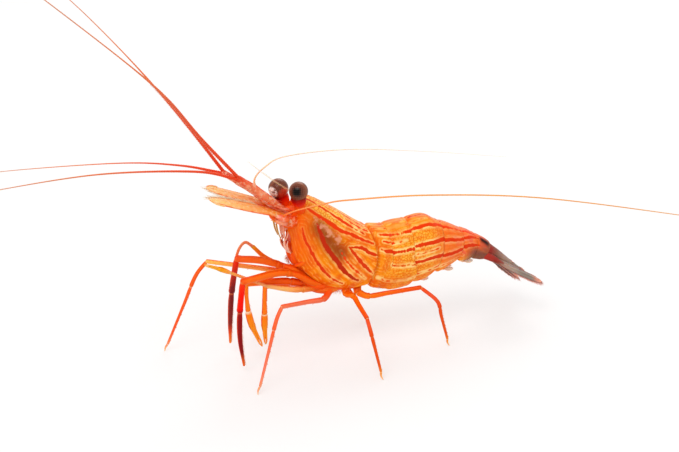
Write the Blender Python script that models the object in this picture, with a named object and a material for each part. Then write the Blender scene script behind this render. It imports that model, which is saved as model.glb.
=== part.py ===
# Peppermint cleaner shrimp, standing, as closed solids for a still, life-size museum model.
# It faces -X, its left side is -Y, and its feet stand on the floor at z = 0.
# Sizes and places are in millimetres; put_in_scene() turns them to metres.
import math

import bmesh
import bpy
import numpy as np

for old in list(bpy.data.objects):
    bpy.data.objects.remove(old, do_unlink=True)

MM = 0.001

# Driving dimensions
GAP = 0.3                 # clear space between two plates that meet
FEELER = 0.52             # thinnest solid: the feelers past their base
LEG = 0.8                 # thickness of a walking leg's long segments
FOOT = 0.55               # width of the small flat under each foot
EYE = 3.0                 # diameter of an eye
CARAPACE_WIDTH = 8.5      # widest place of the carapace
ABDOMEN_WIDTH = 7.7       # widest place of the abdomen, across its second segment

# How finely the solids are faceted
SHELL_SIDES = 20
LIMB_SIDES = 8
FEELER_SIDES = 6

# How a shell's cross-section is rounded: 1 is an ellipse, less is squarer
BACK_ROUNDNESS = 0.88
BELLY_ROUNDNESS = 0.42
HOLLOW = 0.2              # how far the abdomen's underside is raised between its side plates

# Ribs of the shell: back (x, z), belly (x, z), half width as a share of the widest place,
# and how far the flanks bow towards the tail
CARAPACE_RIBS = [
    (-8.0, 28.7, -9.3, 21.6, 0.52, -0.2),
    (-7.3, 29.3, -9.3, 19.7, 0.76, 0.0),
    (-5.7, 28.9, -8.4, 17.0, 0.88, 0.0),
    (-3.2, 27.4, -6.5, 14.4, 0.97, 0.1),
    (-0.3, 25.4, -3.5, 12.3, 1.00, 0.4),
    (2.3, 23.4, -0.1, 11.1, 0.98, 1.0),
    (4.5, 21.8, 3.0, 10.9, 0.90, 1.6),
]
ABDOMEN_RIBS = [
    (4.5, 21.8, 3.0, 10.7, 0.97, 1.6),
    (7.4, 21.4, 6.4, 9.8, 0.99, 1.0),
    (11.5, 21.7, 10.7, 9.7, 1.00, 0.8),
    (17.9, 20.6, 15.9, 10.6, 0.90, 0.6),
    (22.0, 18.5, 20.3, 12.3, 0.75, 0.4),
    (24.9, 17.0, 23.7, 12.4, 0.58, 0.2),
    (28.2, 14.9, 26.6, 11.6, 0.48, 0.0),
]
HUMP = (15.3, 21.9, 13.6, 10.1, 0.97, 0.7)     # the third segment's middle, the abdomen's highest place

ORANGE = (0.86, 0.26, 0.06)
RED = (0.72, 0.07, 0.03)
YELLOW = (0.90, 0.52, 0.12)
PALE = (0.93, 0.72, 0.56)
MAROON = (0.20, 0.03, 0.04)
GREY = (0.24, 0.17, 0.18)
BROWN = (0.16, 0.09, 0.08)


def through(knots, count):
    """Rows read evenly from a smooth curve through the knots."""
    rows = np.array(knots, dtype=float)
    padded = np.vstack([2 * rows[0] - rows[1], rows, 2 * rows[-1] - rows[-2]])
    out = []
    for step in range(count):
        place = step * (len(rows) - 1) / (count - 1)
        k = min(int(place), len(rows) - 2)
        t = place - k
        a, b, c, d = padded[k:k + 4]
        out.append(0.5 * (2 * b + (c - a) * t + (2 * a - 5 * b + 4 * c - d) * t * t
                          + (3 * b - a - 3 * c + d) * t ** 3))
    return np.array(out)


def shell_ring(rib, width, shift=0.0, hollow=0.0):
    """One cross-section of the body, from the middle of the back round and home again."""
    back = np.array([rib[0], 0.0, rib[1]])
    belly = np.array([rib[2], 0.0, rib[3]])
    half = (back - belly) / 2
    tailward = np.array([half[2], 0.0, -half[0]]) / np.linalg.norm(half)
    ring = []
    for i in range(SHELL_SIDES):
        turn = 2 * math.pi * i / SHELL_SIDES
        side = math.sin(turn)
        rise = math.cos(turn)
        roundness = BACK_ROUNDNESS if rise > 0 else BELLY_ROUNDNESS
        out = math.copysign(abs(side) ** roundness, side) * rib[4] * width / 2
        if rise < 0:
            rise *= 1 - hollow * (1 - abs(side)) ** 2
        bow = rib[5] * side * side + shift
        ring.append((back + belly) / 2 + half * rise + tailward * bow + np.array([0.0, out, 0.0]))
    return ring


def frames(points, across):
    """Along, across and upward directions at each point of a path."""
    found = []
    for i in range(len(points)):
        along = points[min(i + 1, len(points) - 1)] - points[max(i - 1, 0)]
        along = along / np.linalg.norm(along)
        side = np.array(across, dtype=float)
        side = side - along * side.dot(along)
        side = side / np.linalg.norm(side)
        found.append((along, side, np.cross(along, side)))
    return found


def tube_rings(knots, across, count, sides):
    """Rings along a path; a knot is x, y, z, width and height."""
    rows = through(knots, count)
    points = rows[:, :3]
    rings = []
    for row, (along, side, upward) in zip(rows, frames(points, across)):
        ring = []
        for i in range(sides):
            turn = 2 * math.pi * (i + 0.5) / sides
            ring.append(row[:3] + side * row[3] / 2 * math.cos(turn) + upward * row[4] / 2 * math.sin(turn))
        rings.append(ring)
    return rings


def material(name, colour, roughness):
    made = bpy.data.materials.new(name)
    made.use_nodes = True
    surface = made.node_tree.nodes["Principled BSDF"]
    surface.inputs["Base Color"].default_value = (*colour, 1.0)
    surface.inputs["Roughness"].default_value = roughness
    surface.inputs["Metallic"].default_value = 0.0
    return made


def put_in_scene(name, rings, colour, roughness=0.35):
    """A closed solid from rings of equal length, its two ends closed with fans."""
    mesh = bmesh.new()
    rows = [[mesh.verts.new(point * MM) for point in ring] for ring in rings]
    sides = len(rings[0])
    for row, following in zip(rows, rows[1:]):
        for i in range(sides):
            k = (i + 1) % sides
            mesh.faces.new((row[i], row[k], following[k], following[i]))
    for row, ring in ((rows[0], rings[0]), (rows[-1], rings[-1])):
        if len(ring) == SHELL_SIDES:
            middle = (ring[SHELL_SIDES // 4] + ring[3 * SHELL_SIDES // 4]) / 2
        else:
            middle = np.mean(ring, axis=0)
        hub = mesh.verts.new(middle * MM)
        for i in range(sides):
            mesh.faces.new((row[i], row[(i + 1) % sides], hub))
    bmesh.ops.recalc_face_normals(mesh, faces=mesh.faces)
    bmesh.ops.triangulate(mesh, faces=mesh.faces)
    data = bpy.data.meshes.new(name)
    mesh.to_mesh(data)
    mesh.free()
    data.shade_smooth()
    data.set_sharp_from_angle(angle=math.radians(40))
    data.materials.append(material(name, colour, roughness))
    made = bpy.data.objects.new(name, data)
    made.parent = shrimp
    bpy.context.scene.collection.objects.link(made)


def put_middle_over_origin():
    """Moves the parent empty so that the middle of the whole outline lies at x = 0, y = 0."""
    corners = [corner for made in shrimp.children for corner in made.bound_box]
    for axis in (0, 1):
        places = [corner[axis] for corner in corners]
        shrimp.location[axis] = -(min(places) + max(places)) / 2


# ---------------------------------------------------------------- shell
def carapace():
    rings = [shell_ring(rib, CARAPACE_WIDTH) for rib in through(CARAPACE_RIBS, 13)]
    put_in_scene("carapace", rings, ORANGE)


def abdomen():
    """Six segments, parted from the carapace and from each other by a thin cut."""
    for number in range(6):
        front, rear = ABDOMEN_RIBS[number:number + 2]
        knots = [front, HUMP, rear] if number == 2 else [front, rear]
        ribs = through(knots, 5)
        shifts = np.linspace(GAP / 2, -GAP / 2, len(ribs))
        if number == 0:
            shifts = np.linspace(GAP, -GAP / 2, len(ribs))
        rings = [shell_ring(rib, ABDOMEN_WIDTH, shift, HOLLOW) for rib, shift in zip(ribs, shifts)]
        put_in_scene(f"abdomen_{number + 1}", rings, ORANGE if number < 5 else MAROON)


def rostrum():
    knots = [(-8.6, 0, 30.1, 0.9, 1.1), (-11.9, 0, 32.7, 0.7, 0.9), (-16.1, 0, 36.6, 0.5, 0.5)]
    put_in_scene("rostrum", tube_rings(knots, (0, 1, 0), 7, LIMB_SIDES), PALE)


def tail_fan():
    """The telson and the two pairs of blades beside it, nearly folded."""
    telson = [(28.5, 0, 13.6, 1.8, 1.5), (31.0, 0, 10.9, 1.6, 0.9), (36.6, 0, 6.5, 0.8, 0.5)]
    put_in_scene("telson", tube_rings(telson, (0, 1, 0), 6, LIMB_SIDES), GREY)
    blades = {
        "tail_inner_L": [(28.0, -1.4, 12.3, 0.8, 0.9), (31.6, -1.8, 10.1, 1.5, 0.6), (36.9, -1.6, 6.3, 0.9, 0.5)],
        "tail_outer_L": [(27.5, -2.4, 12.0, 0.8, 0.9), (31.6, -3.7, 9.8, 1.8, 0.6), (37.5, -3.2, 6.4, 1.1, 0.5)],
        "tail_inner_R": [(27.9, 1.3, 11.6, 0.8, 0.8), (31.3, 2.1, 9.0, 1.5, 0.5), (35.6, 2.2, 5.2, 0.9, 0.5)],
        "tail_outer_R": [(27.3, 2.3, 11.1, 0.8, 0.8), (30.9, 4.1, 8.3, 1.8, 0.5), (35.8, 4.3, 4.3, 1.1, 0.5)],
    }
    for name, knots in blades.items():
        put_in_scene(name, tube_rings(knots, (0, 1, -0.2), 7, LIMB_SIDES), GREY)


# ---------------------------------------------------------------- head
def eye_ball(name, centre):
    sides = 14
    rings = []
    for i in range(1, 8):
        turn = math.pi * i / 8
        radius = EYE / 2 * math.sin(turn)
        height = EYE / 2 * math.cos(turn)
        rings.append([np.array([centre[0] + radius * math.cos(a), centre[1] + radius * math.sin(a),
                                centre[2] + height])
                      for a in (2 * math.pi * k / sides for k in range(sides))])
    put_in_scene(name, rings, BROWN, 0.1)


def eyes():
    eye_ball("eye_L", (-8.5, -3.0, 31.6))
    eye_ball("eye_R", (-9.4, 3.5, 29.3))
    stalk_left = [(-7.9, -2.5, 28.2, 1.3, 1.3), (-8.3, -2.8, 29.2, 1.6, 1.6), (-8.4, -2.9, 29.75, 1.9, 1.9)]
    stalk_right = [(-9.1, 2.9, 26.2, 1.2, 1.2), (-9.2, 3.2, 26.9, 1.5, 1.5), (-9.3, 3.4, 27.4, 1.8, 1.8)]
    put_in_scene("eyestalk_L", tube_rings(stalk_left, (1, 0, 0), 4, 12), RED)
    put_in_scene("eyestalk_R", tube_rings(stalk_right, (1, 0, 0), 4, 12), RED)


def head_front():
    """The front of the head below the eyes, between the feelers' bases and the mouth."""
    knots = [(-9.4, 0, 25.2, 5.2, 4.6), (-10.3, 0, 25.2, 5.0, 4.2), (-11.2, 0, 25.3, 4.0, 3.0)]
    put_in_scene("head_front", tube_rings(knots, (0, 1, 0), 4, 16), ORANGE)
    mouth = [(-9.9, 0, 22.5, 3.0, 0.9), (-10.4, 0, 20.9, 2.8, 1.1), (-9.9, 0, 19.0, 2.0, 0.7)]
    put_in_scene("mouthparts", tube_rings(mouth, (0, 1, 0), 5, 12), PALE)


def feelers():
    """Each side's antennule with its two feelers, and the antenna's long feeler."""
    stems = {
        "L": [(-9.9, -1.15, 28.2, 1.3, 1.3), (-13.6, -1.2, 30.9, 1.3, 1.4), (-18.2, -1.25, 34.4, 1.0, 1.0)],
        "R": [(-10.0, 1.05, 28.3, 1.3, 1.3), (-15.0, 1.2, 31.4, 1.2, 1.3), (-20.0, 1.25, 34.7, 1.0, 1.0)],
    }
    thick = FEELER * 1.35
    outer = {
        "L": [(-18.6, -1.4, 35.2, thick, thick), (-24.7, -2.0, 42.9, thick, thick),
              (-30.6, -5.0, 51.3, thick, thick), (-36.6, -6.0, 58.0, FEELER, FEELER),
              (-49.5, -8.0, 70.7, FEELER, FEELER), (-54.5, -8.8, 75.2, FEELER, FEELER)],
        "R": [(-20.3, 1.5, 35.5, thick, thick), (-23.9, 1.9, 41.1, thick, thick),
              (-27.9, 4.0, 47.0, thick, thick), (-33.5, 7.2, 54.5, FEELER, FEELER),
              (-40.2, 10.4, 62.5, FEELER, FEELER), (-47.0, 13.0, 69.5, FEELER, FEELER)],
    }
    inner = {
        "L": [(-18.9, -1.4, 34.6, thick, thick), (-25.9, -2.6, 37.4, FEELER, FEELER),
              (-42.1, -5.2, 40.5, FEELER, FEELER), (-58.7, -10.0, 42.5, FEELER, FEELER),
              (-66.0, -12.6, 43.0, FEELER, FEELER)],
        "R": [(-20.7, 1.3, 34.9, thick, thick), (-26.9, 2.5, 36.6, FEELER, FEELER),
              (-36.6, 4.0, 37.9, FEELER, FEELER), (-53.7, 8.0, 37.6, FEELER, FEELER),
              (-62.0, 10.6, 36.4, FEELER, FEELER)],
    }
    long_feeler = {
        "L": [(-11.1, -3.9, 27.3, 1.2, 1.2), (-10.9, -4.1, 28.2, 0.9, 0.9), (-8.8, -4.7, 28.9, FEELER, FEELER),
              (-4.7, -6.4, 30.0, FEELER, FEELER), (-1.2, -8.0, 30.7, FEELER, FEELER),
              (10.5, -14.0, 32.2, FEELER, FEELER),
              (27.5, -20.0, 31.5, FEELER, FEELER), (50.4, -26.0, 27.2, FEELER, FEELER),
              (64.0, -29.4, 24.0, FEELER, FEELER)],
        "R": [(-11.7, 4.3, 26.2, 1.3, 1.3), (-12.2, 4.6, 27.7, 0.9, 0.9), (-13.3, 5.4, 30.5, FEELER, FEELER),
              (-10.5, 8.0, 31.6, FEELER, FEELER), (-4.7, 13.0, 30.8, FEELER, FEELER),
              (10.9, 23.0, 25.8, FEELER, FEELER), (30.0, 32.0, 19.0, FEELER, FEELER),
              (50.0, 38.0, 12.5, FEELER, FEELER)],
    }
    for side in "LR":
        put_in_scene(f"antennule_{side}", tube_rings(stems[side], (0, 1, 0), 7, LIMB_SIDES), RED)
        put_in_scene(f"feeler_outer_{side}", tube_rings(outer[side], (0, 1, 0), 18, FEELER_SIDES), RED)
        put_in_scene(f"feeler_inner_{side}", tube_rings(inner[side], (0, 1, 0), 14, FEELER_SIDES), RED)
        put_in_scene(f"antenna_{side}", tube_rings(long_feeler[side], (0, 0, 1), 26, FEELER_SIDES), ORANGE)


def antenna_scales():
    """The wide leaf beside each antenna's base."""
    scales = {
        "L": [(-11.9, -2.5, 26.6, 1.7, 1.3), (-17.2, -2.9, 29.3, 3.2, 0.8), (-23.8, -2.6, 32.6, 1.5, 0.5)],
        "R": [(-11.9, 2.5, 27.0, 1.7, 1.3), (-16.5, 2.7, 29.3, 3.2, 0.8), (-22.6, 2.6, 32.4, 1.5, 0.5)],
    }
    for side, knots in scales.items():
        put_in_scene(f"antenna_scale_{side}", tube_rings(knots, (0, 1, 0), 8, LIMB_SIDES), YELLOW)


# ---------------------------------------------------------------- limbs
def limb(name, upper, lower, colour, stands=False):
    """A leg in two lengths that meet at the knee, the lower one with a flat foot if it stands."""
    put_in_scene(f"{name}_upper", tube_rings(upper, (0, 1, 0), 8, LIMB_SIDES), colour)
    rings = tube_rings(lower, (0, 1, 0), 9, LIMB_SIDES)
    if stands:
        for point in rings[-1]:
            point[2] = 0.0
    put_in_scene(f"{name}_lower", rings, colour)


def walking_leg(name, hip, thigh, knee, wrist, foot):
    """A standing leg from the hip over the knee and wrist to its small flat foot."""
    hip, thigh, knee, wrist, foot = (np.array(point) for point in (hip, thigh, knee, wrist, foot))
    coming = (knee - thigh) / np.linalg.norm(knee - thigh)
    going = (wrist - knee) / np.linalg.norm(wrist - knee)
    past_thigh = thigh + 0.4 * (knee - thigh)
    past_wrist = wrist + 0.4 * (foot - wrist)
    before_knee = knee - coming * (LEG / 2 + GAP)
    after_knee = knee + going * GAP
    widths = [1.8 * LEG, 1.4 * LEG, 1.15 * LEG, 1.0 * LEG]
    upper = [(*point, w, w) for point, w in zip((hip, thigh, past_thigh, before_knee), widths)]
    widths = [1.0 * LEG, 0.95 * LEG, 0.85 * LEG, FOOT]
    lower = [(*point, w, w) for point, w in zip((after_knee, wrist, past_wrist, foot), widths)]
    limb(name, upper, lower, RED, stands=True)


def walking_legs():
    walking_leg("leg3_L", (-2.9, -2.9, 11.9), (-4.3, -4.5, 10.7), (-13.3, -8.0, 13.2),
                (-14.6, -8.8, 11.3), (-19.3, -12.5, 0.0))
    walking_leg("leg3_R", (-6.4, 2.7, 13.5), (-9.6, 3.6, 13.9), (-21.6, 7.0, 16.2),
                (-23.6, 7.3, 13.6), (-29.5, 7.6, 0.0))
    walking_leg("leg4_L", (0.0, -3.2, 10.9), (0.6, -5.0, 11.2), (0.7, -11.0, 9.9),
                (1.0, -11.8, 8.0), (2.0, -15.3, 0.0))
    walking_leg("leg4_R", (-2.9, 2.8, 11.6), (-4.2, 4.6, 10.4), (-10.8, 8.0, 8.9),
                (-10.75, 8.3, 6.8), (-11.2, 7.8, 0.0))
    walking_leg("leg5_L", (2.2, -2.9, 10.5), (4.1, -4.0, 9.8), (12.8, -7.2, 11.7),
                (15.2, -7.8, 8.7), (17.3, -8.3, 0.0))
    walking_leg("leg5_R", (1.6, 2.8, 10.5), (1.6, 4.8, 11.0), (1.0, 10.5, 13.5),
                (2.5, 9.3, 10.4), (7.6, 5.2, 0.0))


def claw_legs():
    """The two pairs of slim legs with pincers, the first folded down, the second reaching forward."""
    limb("leg1_L",
         [(-7.0, -1.9, 13.9, 1.1, 1.1), (-11.0, -2.3, 14.3, 1.0, 1.0), (-17.2, -2.0, 15.5, 0.8, 0.8)],
         [(-17.7, -2.0, 14.9, 0.7, 0.7), (-17.3, -2.0, 9.8, 0.8, 0.8), (-16.5, -2.0, 6.6, 1.3, 1.0),
          (-14.9, -2.0, 3.0, 0.55, 0.5)], ORANGE)
    limb("leg1_R",
         [(-8.3, 1.7, 14.9, 1.1, 1.1), (-10.4, 1.9, 14.4, 1.0, 1.0), (-12.4, 2.0, 13.9, 0.8, 0.8)],
         [(-12.9, 2.0, 13.2, 0.7, 0.7), (-13.0, 2.0, 7.4, 0.8, 0.8), (-13.1, 2.0, 4.2, 1.3, 1.0),
          (-12.9, 2.0, 1.0, 0.55, 0.5)], ORANGE)
    limb("leg2_L",
         [(-5.2, -2.4, 12.6, 1.3, 1.3), (-9.6, -3.3, 12.8, 0.9, 0.9), (-16.6, -3.0, 16.0, 0.65, 0.65)],
         [(-17.1, -3.0, 16.6, 0.6, 0.6), (-20.6, -3.0, 18.5, 0.65, 0.65), (-22.4, -3.0, 19.5, 1.1, 0.8),
          (-25.0, -3.0, 20.7, 0.5, 0.5)], YELLOW)
    limb("leg2_R",
         [(-8.6, 3.3, 15.6, 1.0, 1.0), (-11.6, 4.2, 17.2, 0.8, 0.8), (-15.2, 4.2, 20.0, 0.6, 0.6)],
         [(-15.9, 4.2, 20.1, 0.55, 0.55), (-17.2, 4.1, 17.6, 0.55, 0.55), (-18.0, 4.1, 13.6, 0.9, 0.8),
          (-18.3, 4.1, 10.1, 0.5, 0.5)], YELLOW)


def mouth_legs():
    """The third maxillipeds, the stout pair that reaches forward and hangs down before the mouth."""
    limb("maxilliped_L",
         [(-9.0, -1.5, 16.2, 1.5, 1.4), (-12.6, -3.3, 17.4, 1.5, 1.3), (-18.5, -4.7, 17.4, 1.1, 1.1)],
         [(-19.2, -4.7, 16.7, 1.0, 1.0), (-19.6, -4.7, 11.9, 1.0, 1.0), (-19.7, -4.7, 6.7, 0.8, 0.8),
          (-19.1, -4.7, 1.5, 0.5, 0.5)], RED)
    limb("maxilliped_R",
         [(-10.1, 1.5, 17.6, 1.4, 1.4), (-13.0, 2.2, 17.8, 1.4, 1.3), (-17.0, 2.8, 18.0, 1.1, 1.1)],
         [(-17.8, 2.8, 17.1, 1.0, 1.0), (-18.6, 2.8, 11.8, 1.0, 1.0), (-19.0, 2.8, 6.5, 0.8, 0.8),
          (-19.1, 2.8, 2.1, 0.5, 0.5)], MAROON)


def swimmerets():
    """Five pairs of small paddles under the abdomen; a bar joins each pair."""
    for number in range(5):
        front, rear = ABDOMEN_RIBS[number:number + 2]
        x = (front[2] + rear[2]) / 2
        under = (front[3] + rear[3]) / 2 + HOLLOW * (rear[1] - rear[3]) / 2 - 1.5 * GAP
        out = 2.1 - 0.25 * number
        knots = []
        for side in (-1, 1):
            blade = [(x + 2.4, side * out, under - 0.9, 0.6, 0.5),
                     (x + 1.2, side * (out + 0.1), under - 0.9, 1.2, 0.6),
                     (x, side * (out - 0.4), under - 0.4, 1.0, 0.6)]
            knots += blade if side < 0 else blade[::-1]
        put_in_scene(f"swimmeret_{number + 1}", tube_rings(knots, (1, 0.02, 0.6), 13, LIMB_SIDES), PALE)


shrimp = bpy.data.objects.new("shrimp", None)
bpy.context.scene.collection.objects.link(shrimp)
carapace()
abdomen()
rostrum()
tail_fan()
eyes()
head_front()
feelers()
antenna_scales()
walking_legs()
claw_legs()
mouth_legs()
swimmerets()
put_middle_over_origin()
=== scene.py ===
# Peppermint cleaner shrimp: the wet striped shell, limbs, feelers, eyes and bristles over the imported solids.
# Shapes are written in the animal's own millimetres (it faces -X, its left side is -Y, the floor is z = 0)
# and are moved to the row frame when a mesh is made.
import math
import random

import bmesh
import bpy
import numpy as np
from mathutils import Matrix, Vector


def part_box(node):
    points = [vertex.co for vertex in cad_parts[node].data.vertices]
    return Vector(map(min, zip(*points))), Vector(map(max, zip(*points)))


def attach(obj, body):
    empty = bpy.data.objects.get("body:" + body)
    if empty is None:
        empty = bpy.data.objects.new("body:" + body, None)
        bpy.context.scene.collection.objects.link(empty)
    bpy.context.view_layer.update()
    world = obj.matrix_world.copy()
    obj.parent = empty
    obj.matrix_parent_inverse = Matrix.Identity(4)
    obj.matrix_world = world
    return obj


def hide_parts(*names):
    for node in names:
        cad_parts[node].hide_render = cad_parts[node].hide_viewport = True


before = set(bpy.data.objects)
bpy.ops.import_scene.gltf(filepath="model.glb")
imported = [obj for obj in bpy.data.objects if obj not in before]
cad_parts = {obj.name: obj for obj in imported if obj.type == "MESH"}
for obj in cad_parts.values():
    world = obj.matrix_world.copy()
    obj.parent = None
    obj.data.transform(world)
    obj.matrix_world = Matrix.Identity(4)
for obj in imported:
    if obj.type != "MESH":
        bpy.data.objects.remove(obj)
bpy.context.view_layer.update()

mm = 0.001

animal = {
    "leftEye": (-8.5, -3.0, 31.6),
    "rightEye": (-9.4, 3.5, 29.3),
    "seed": 7,
}
eyeLow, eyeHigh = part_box("eye_L")
shift = (np.array(eyeLow) + np.array(eyeHigh)) / 2 - np.array(animal["leftEye"]) * mm
chance = random.Random(animal["seed"])


# Meshes

def newShape():
    return {"points": [], "faces": [], "values": []}


def addPoints(shape, points, values):
    start = sum(len(chunk) for chunk in shape["points"])
    flat = points.reshape(-1, 3)
    shape["points"].append(flat)
    shape["values"].append({name: np.broadcast_to(value, points.shape[:-1]).reshape(-1)
                            for name, value in values.items()})
    return start + np.arange(len(flat)).reshape(points.shape[:-1])


def addQuads(shape, rows, wrap=False):
    following = np.roll(rows, -1, axis=1) if wrap else rows[:, 1:]
    first = rows if wrap else rows[:, :-1]
    quads = np.stack([first[:-1], following[:-1], following[1:], first[1:]], axis=-1)
    shape["faces"].extend(quads.reshape(-1, 4).tolist())


def addLoft(shape, rows, values):
    # closed body from rings of equal length, each end shut with a fan
    marks = {name: np.broadcast_to(value, rows.shape[:2]) for name, value in values.items()}
    index = addPoints(shape, rows, marks)
    addQuads(shape, index, wrap=True)
    for end in (0, -1):
        middle = {name: value[end].mean()[None] for name, value in marks.items()}
        hub = addPoints(shape, rows[end].mean(axis=0)[None], middle)[0]
        ring = index[end]
        shape["faces"].extend([int(a), int(b), int(hub)] for a, b in zip(ring, np.roll(ring, -1)))


def normalsOf(grid):
    along = np.gradient(grid, axis=0)
    across = np.gradient(grid, axis=1)
    found = np.cross(along, across)
    return found / np.maximum(np.linalg.norm(found, axis=-1, keepdims=True), 1e-9)


def addSheet(shape, outer, thickness, values):
    # closed plate: the outer face, an inner face behind it that thins towards the rim, and the rim itself
    rows, columns = outer.shape[:2]
    fromEnds = np.minimum(np.arange(rows), np.arange(rows)[::-1])[:, None]
    fromSides = np.minimum(np.arange(columns), np.arange(columns)[::-1])[None, :]
    rim = np.sqrt(np.clip(np.minimum(fromEnds, fromSides) / 3, 0.15, 1))
    inner = outer - normalsOf(outer) * (thickness * rim)[..., None]
    top = addPoints(shape, outer, values)
    bottom = addPoints(shape, inner, values)
    addQuads(shape, top)
    addQuads(shape, bottom[:, ::-1])
    edge, under = (np.concatenate([face[0], face[1:, -1], face[-1, -2::-1], face[-2:0:-1, 0]])
                   for face in (top, bottom))
    addQuads(shape, np.stack([edge, under]), wrap=True)


def curveAt(knots, shares):
    # points of a smooth curve through the knots, at shares of its length from 0 to 1
    rows = np.array(knots, dtype=float)
    padded = np.vstack([2 * rows[0] - rows[1], rows, 2 * rows[-1] - rows[-2]])
    places = np.clip(np.asarray(shares, dtype=float), 0, 1) * (len(rows) - 1)
    k = np.minimum(places.astype(int), len(rows) - 2)
    t = (places - k)[:, None]
    a, b, c, d = (padded[k + i] for i in range(4))
    return 0.5 * (2 * b + (c - a) * t + (2 * a - 5 * b + 4 * c - d) * t ** 2
                  + (3 * b - a - 3 * c + d) * t ** 3)


def framesAt(points, across):
    along = np.gradient(points, axis=0)
    along /= np.linalg.norm(along, axis=1, keepdims=True)
    side = np.array(across, dtype=float) - along * (along @ np.array(across, dtype=float))[:, None]
    side /= np.linalg.norm(side, axis=1, keepdims=True)
    return along, side, np.cross(along, side)


def smooth(value, start, end):
    t = np.clip((value - start) / (end - start), 0, 1)
    return t * t * (3 - 2 * t)


def unit(vector):
    return np.asarray(vector, dtype=float) / max(np.linalg.norm(vector), 1e-6)


def mirrored(knots, sign):
    # knots written for the animal's right side, kept there (1) or moved to its left (-1)
    return [(knot[0], knot[1] * sign, *knot[2:]) for knot in knots]


def addTube(shape, knots, across=(0, 1, 0), span=(0, 1), count=20, sides=12, sleeve=None, values=None,
            cap=0.8, marked=None, soft=0.0):
    # tube with rounded ends along knots of x, y, z, width and height; sleeve scales its width along the way,
    # marked gives the colour shares at its two ends, and soft the part of it that is joint skin
    rows = curveAt(knots, np.linspace(span[0], span[1], count))
    along, side, upward = framesAt(rows[:, :3], across)
    scale = np.ones(count) if sleeve is None else np.interp(np.linspace(0, 1, count), *sleeve)
    radii = rows[:, 3:5] * scale[:, None] / 2
    bend = np.radians([75, 50, 25])[:, None]
    startTips = rows[0, :3] - along[0] * np.sin(bend) * cap * radii[0].mean()
    endTips = (rows[-1, :3] + along[-1] * np.sin(bend) * cap * radii[-1].mean())[::-1]
    centres = np.vstack([startTips, rows[:, :3], endTips])
    radii = np.vstack([radii[0] * np.cos(bend), radii, (radii[-1] * np.cos(bend))[::-1]])
    side, upward = (np.vstack([way[:1].repeat(3, 0), way, way[-1:].repeat(3, 0)]) for way in (side, upward))
    turn = 2 * np.pi * np.arange(sides) / sides
    rings = (centres[:, None] + side[:, None] * (radii[:, :1] * np.cos(turn))[..., None]
             + upward[:, None] * (radii[:, 1:] * np.sin(turn))[..., None])
    rings[..., 2] = np.maximum(rings[..., 2], 0)
    inside = np.concatenate([np.zeros(3), np.linspace(0, 1, count), np.ones(3)])
    first, final = marked or span
    marks = {"share": (first + (final - first) * inside)[:, None], "rise": np.sin(turn)[None, :]}
    if soft:
        marks["joint"] = 1 - smooth(inside, soft * 0.4, soft)[:, None]
    addLoft(shape, rings, {**marks, **(values or {})})


def meshFrom(shape, name):
    points = np.concatenate(shape["points"]) * mm + shift
    mesh = bpy.data.meshes.new(name)
    mesh.from_pydata(points.tolist(), [], shape["faces"])
    for value in sorted({key for chunk in shape["values"] for key in chunk}):
        layer = mesh.attributes.new(value, "FLOAT", "POINT")
        numbers = [chunk.get(value, np.zeros(len(part)))
                   for chunk, part in zip(shape["values"], shape["points"])]
        layer.data.foreach_set("value", np.concatenate(numbers).astype(np.float32))
    turned = bmesh.new()
    turned.from_mesh(mesh)
    bmesh.ops.recalc_face_normals(turned, faces=turned.faces)
    turned.to_mesh(mesh)
    turned.free()
    mesh.shade_smooth()
    return mesh


def dress(mesh, name, surface, replaced=()):
    if surface.name not in [m.name for m in mesh.materials if m]:
        mesh.materials.clear()
        mesh.materials.append(surface)
    piece = bpy.data.objects.new(name, mesh)
    bpy.context.scene.collection.objects.link(piece)
    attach(piece, "root")
    if replaced:
        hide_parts(*replaced)


def makePiece(shape, name, surface, slotName, *replaced):
    dress(meshFrom(shape, name), name, surface, replaced)


# Surfaces

def linear(code):
    channels = [int(code[i:i + 2], 16) / 255 for i in (1, 3, 5)]
    return tuple(c / 12.92 if c <= 0.04045 else ((c + 0.055) / 1.055) ** 2.4 for c in channels) + (1.0,)


def addNode(tree, kind, values=None, **settings):
    # a node with its settings; each input is given a link, a colour code or a plain value
    node = tree.nodes.new(kind)
    for name, value in settings.items():
        setattr(node, name, value)
    for key, value in (values or {}).items():
        if isinstance(value, bpy.types.NodeSocket):
            tree.links.new(value, node.inputs[key])
        else:
            node.inputs[key].default_value = linear(value) if str(value).startswith("#") else value
    return node


def marksOf(tree, *names):
    # the values that the mesh carries on its points
    return {name: addNode(tree, "ShaderNodeAttribute", attribute_name=name).outputs["Fac"] for name in names}


def placeOn(tree):
    return addNode(tree, "ShaderNodeTexCoord").outputs["Object"]


def noiseOf(tree, place, size, detail=2.0):
    # clouds with a size in mm
    values = {"Vector": place, "Scale": 1 / (size * mm), "Detail": detail}
    return addNode(tree, "ShaderNodeTexNoise", values).outputs["Fac"]


def cellsOf(tree, place, size, randomness=1.0):
    # distance from the walls between cells with a size in mm
    values = {"Vector": place, "Scale": 1 / (size * mm), "Randomness": randomness}
    return addNode(tree, "ShaderNodeTexVoronoi", values, feature="DISTANCE_TO_EDGE").outputs["Distance"]


def mathOf(tree, operation, *values):
    return addNode(tree, "ShaderNodeMath", dict(enumerate(values)), operation=operation).outputs[0]


def spanOf(tree, value, start, end, bottom=0.0, top=1.0, soft=False):
    # bottom where the value is at the start, top where it is at the end
    values = {0: value, 1: start, 2: end, 3: bottom, 4: top}
    kind = "SMOOTHSTEP" if soft else "LINEAR"
    return addNode(tree, "ShaderNodeMapRange", values, interpolation_type=kind).outputs[0]


def layOver(tree, under, over, amount, blend="MIX"):
    # one colour laid over another
    values = {0: amount, 6: under, 7: over}
    return addNode(tree, "ShaderNodeMix", values, data_type="RGBA", blend_type=blend).outputs[2]


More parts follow.
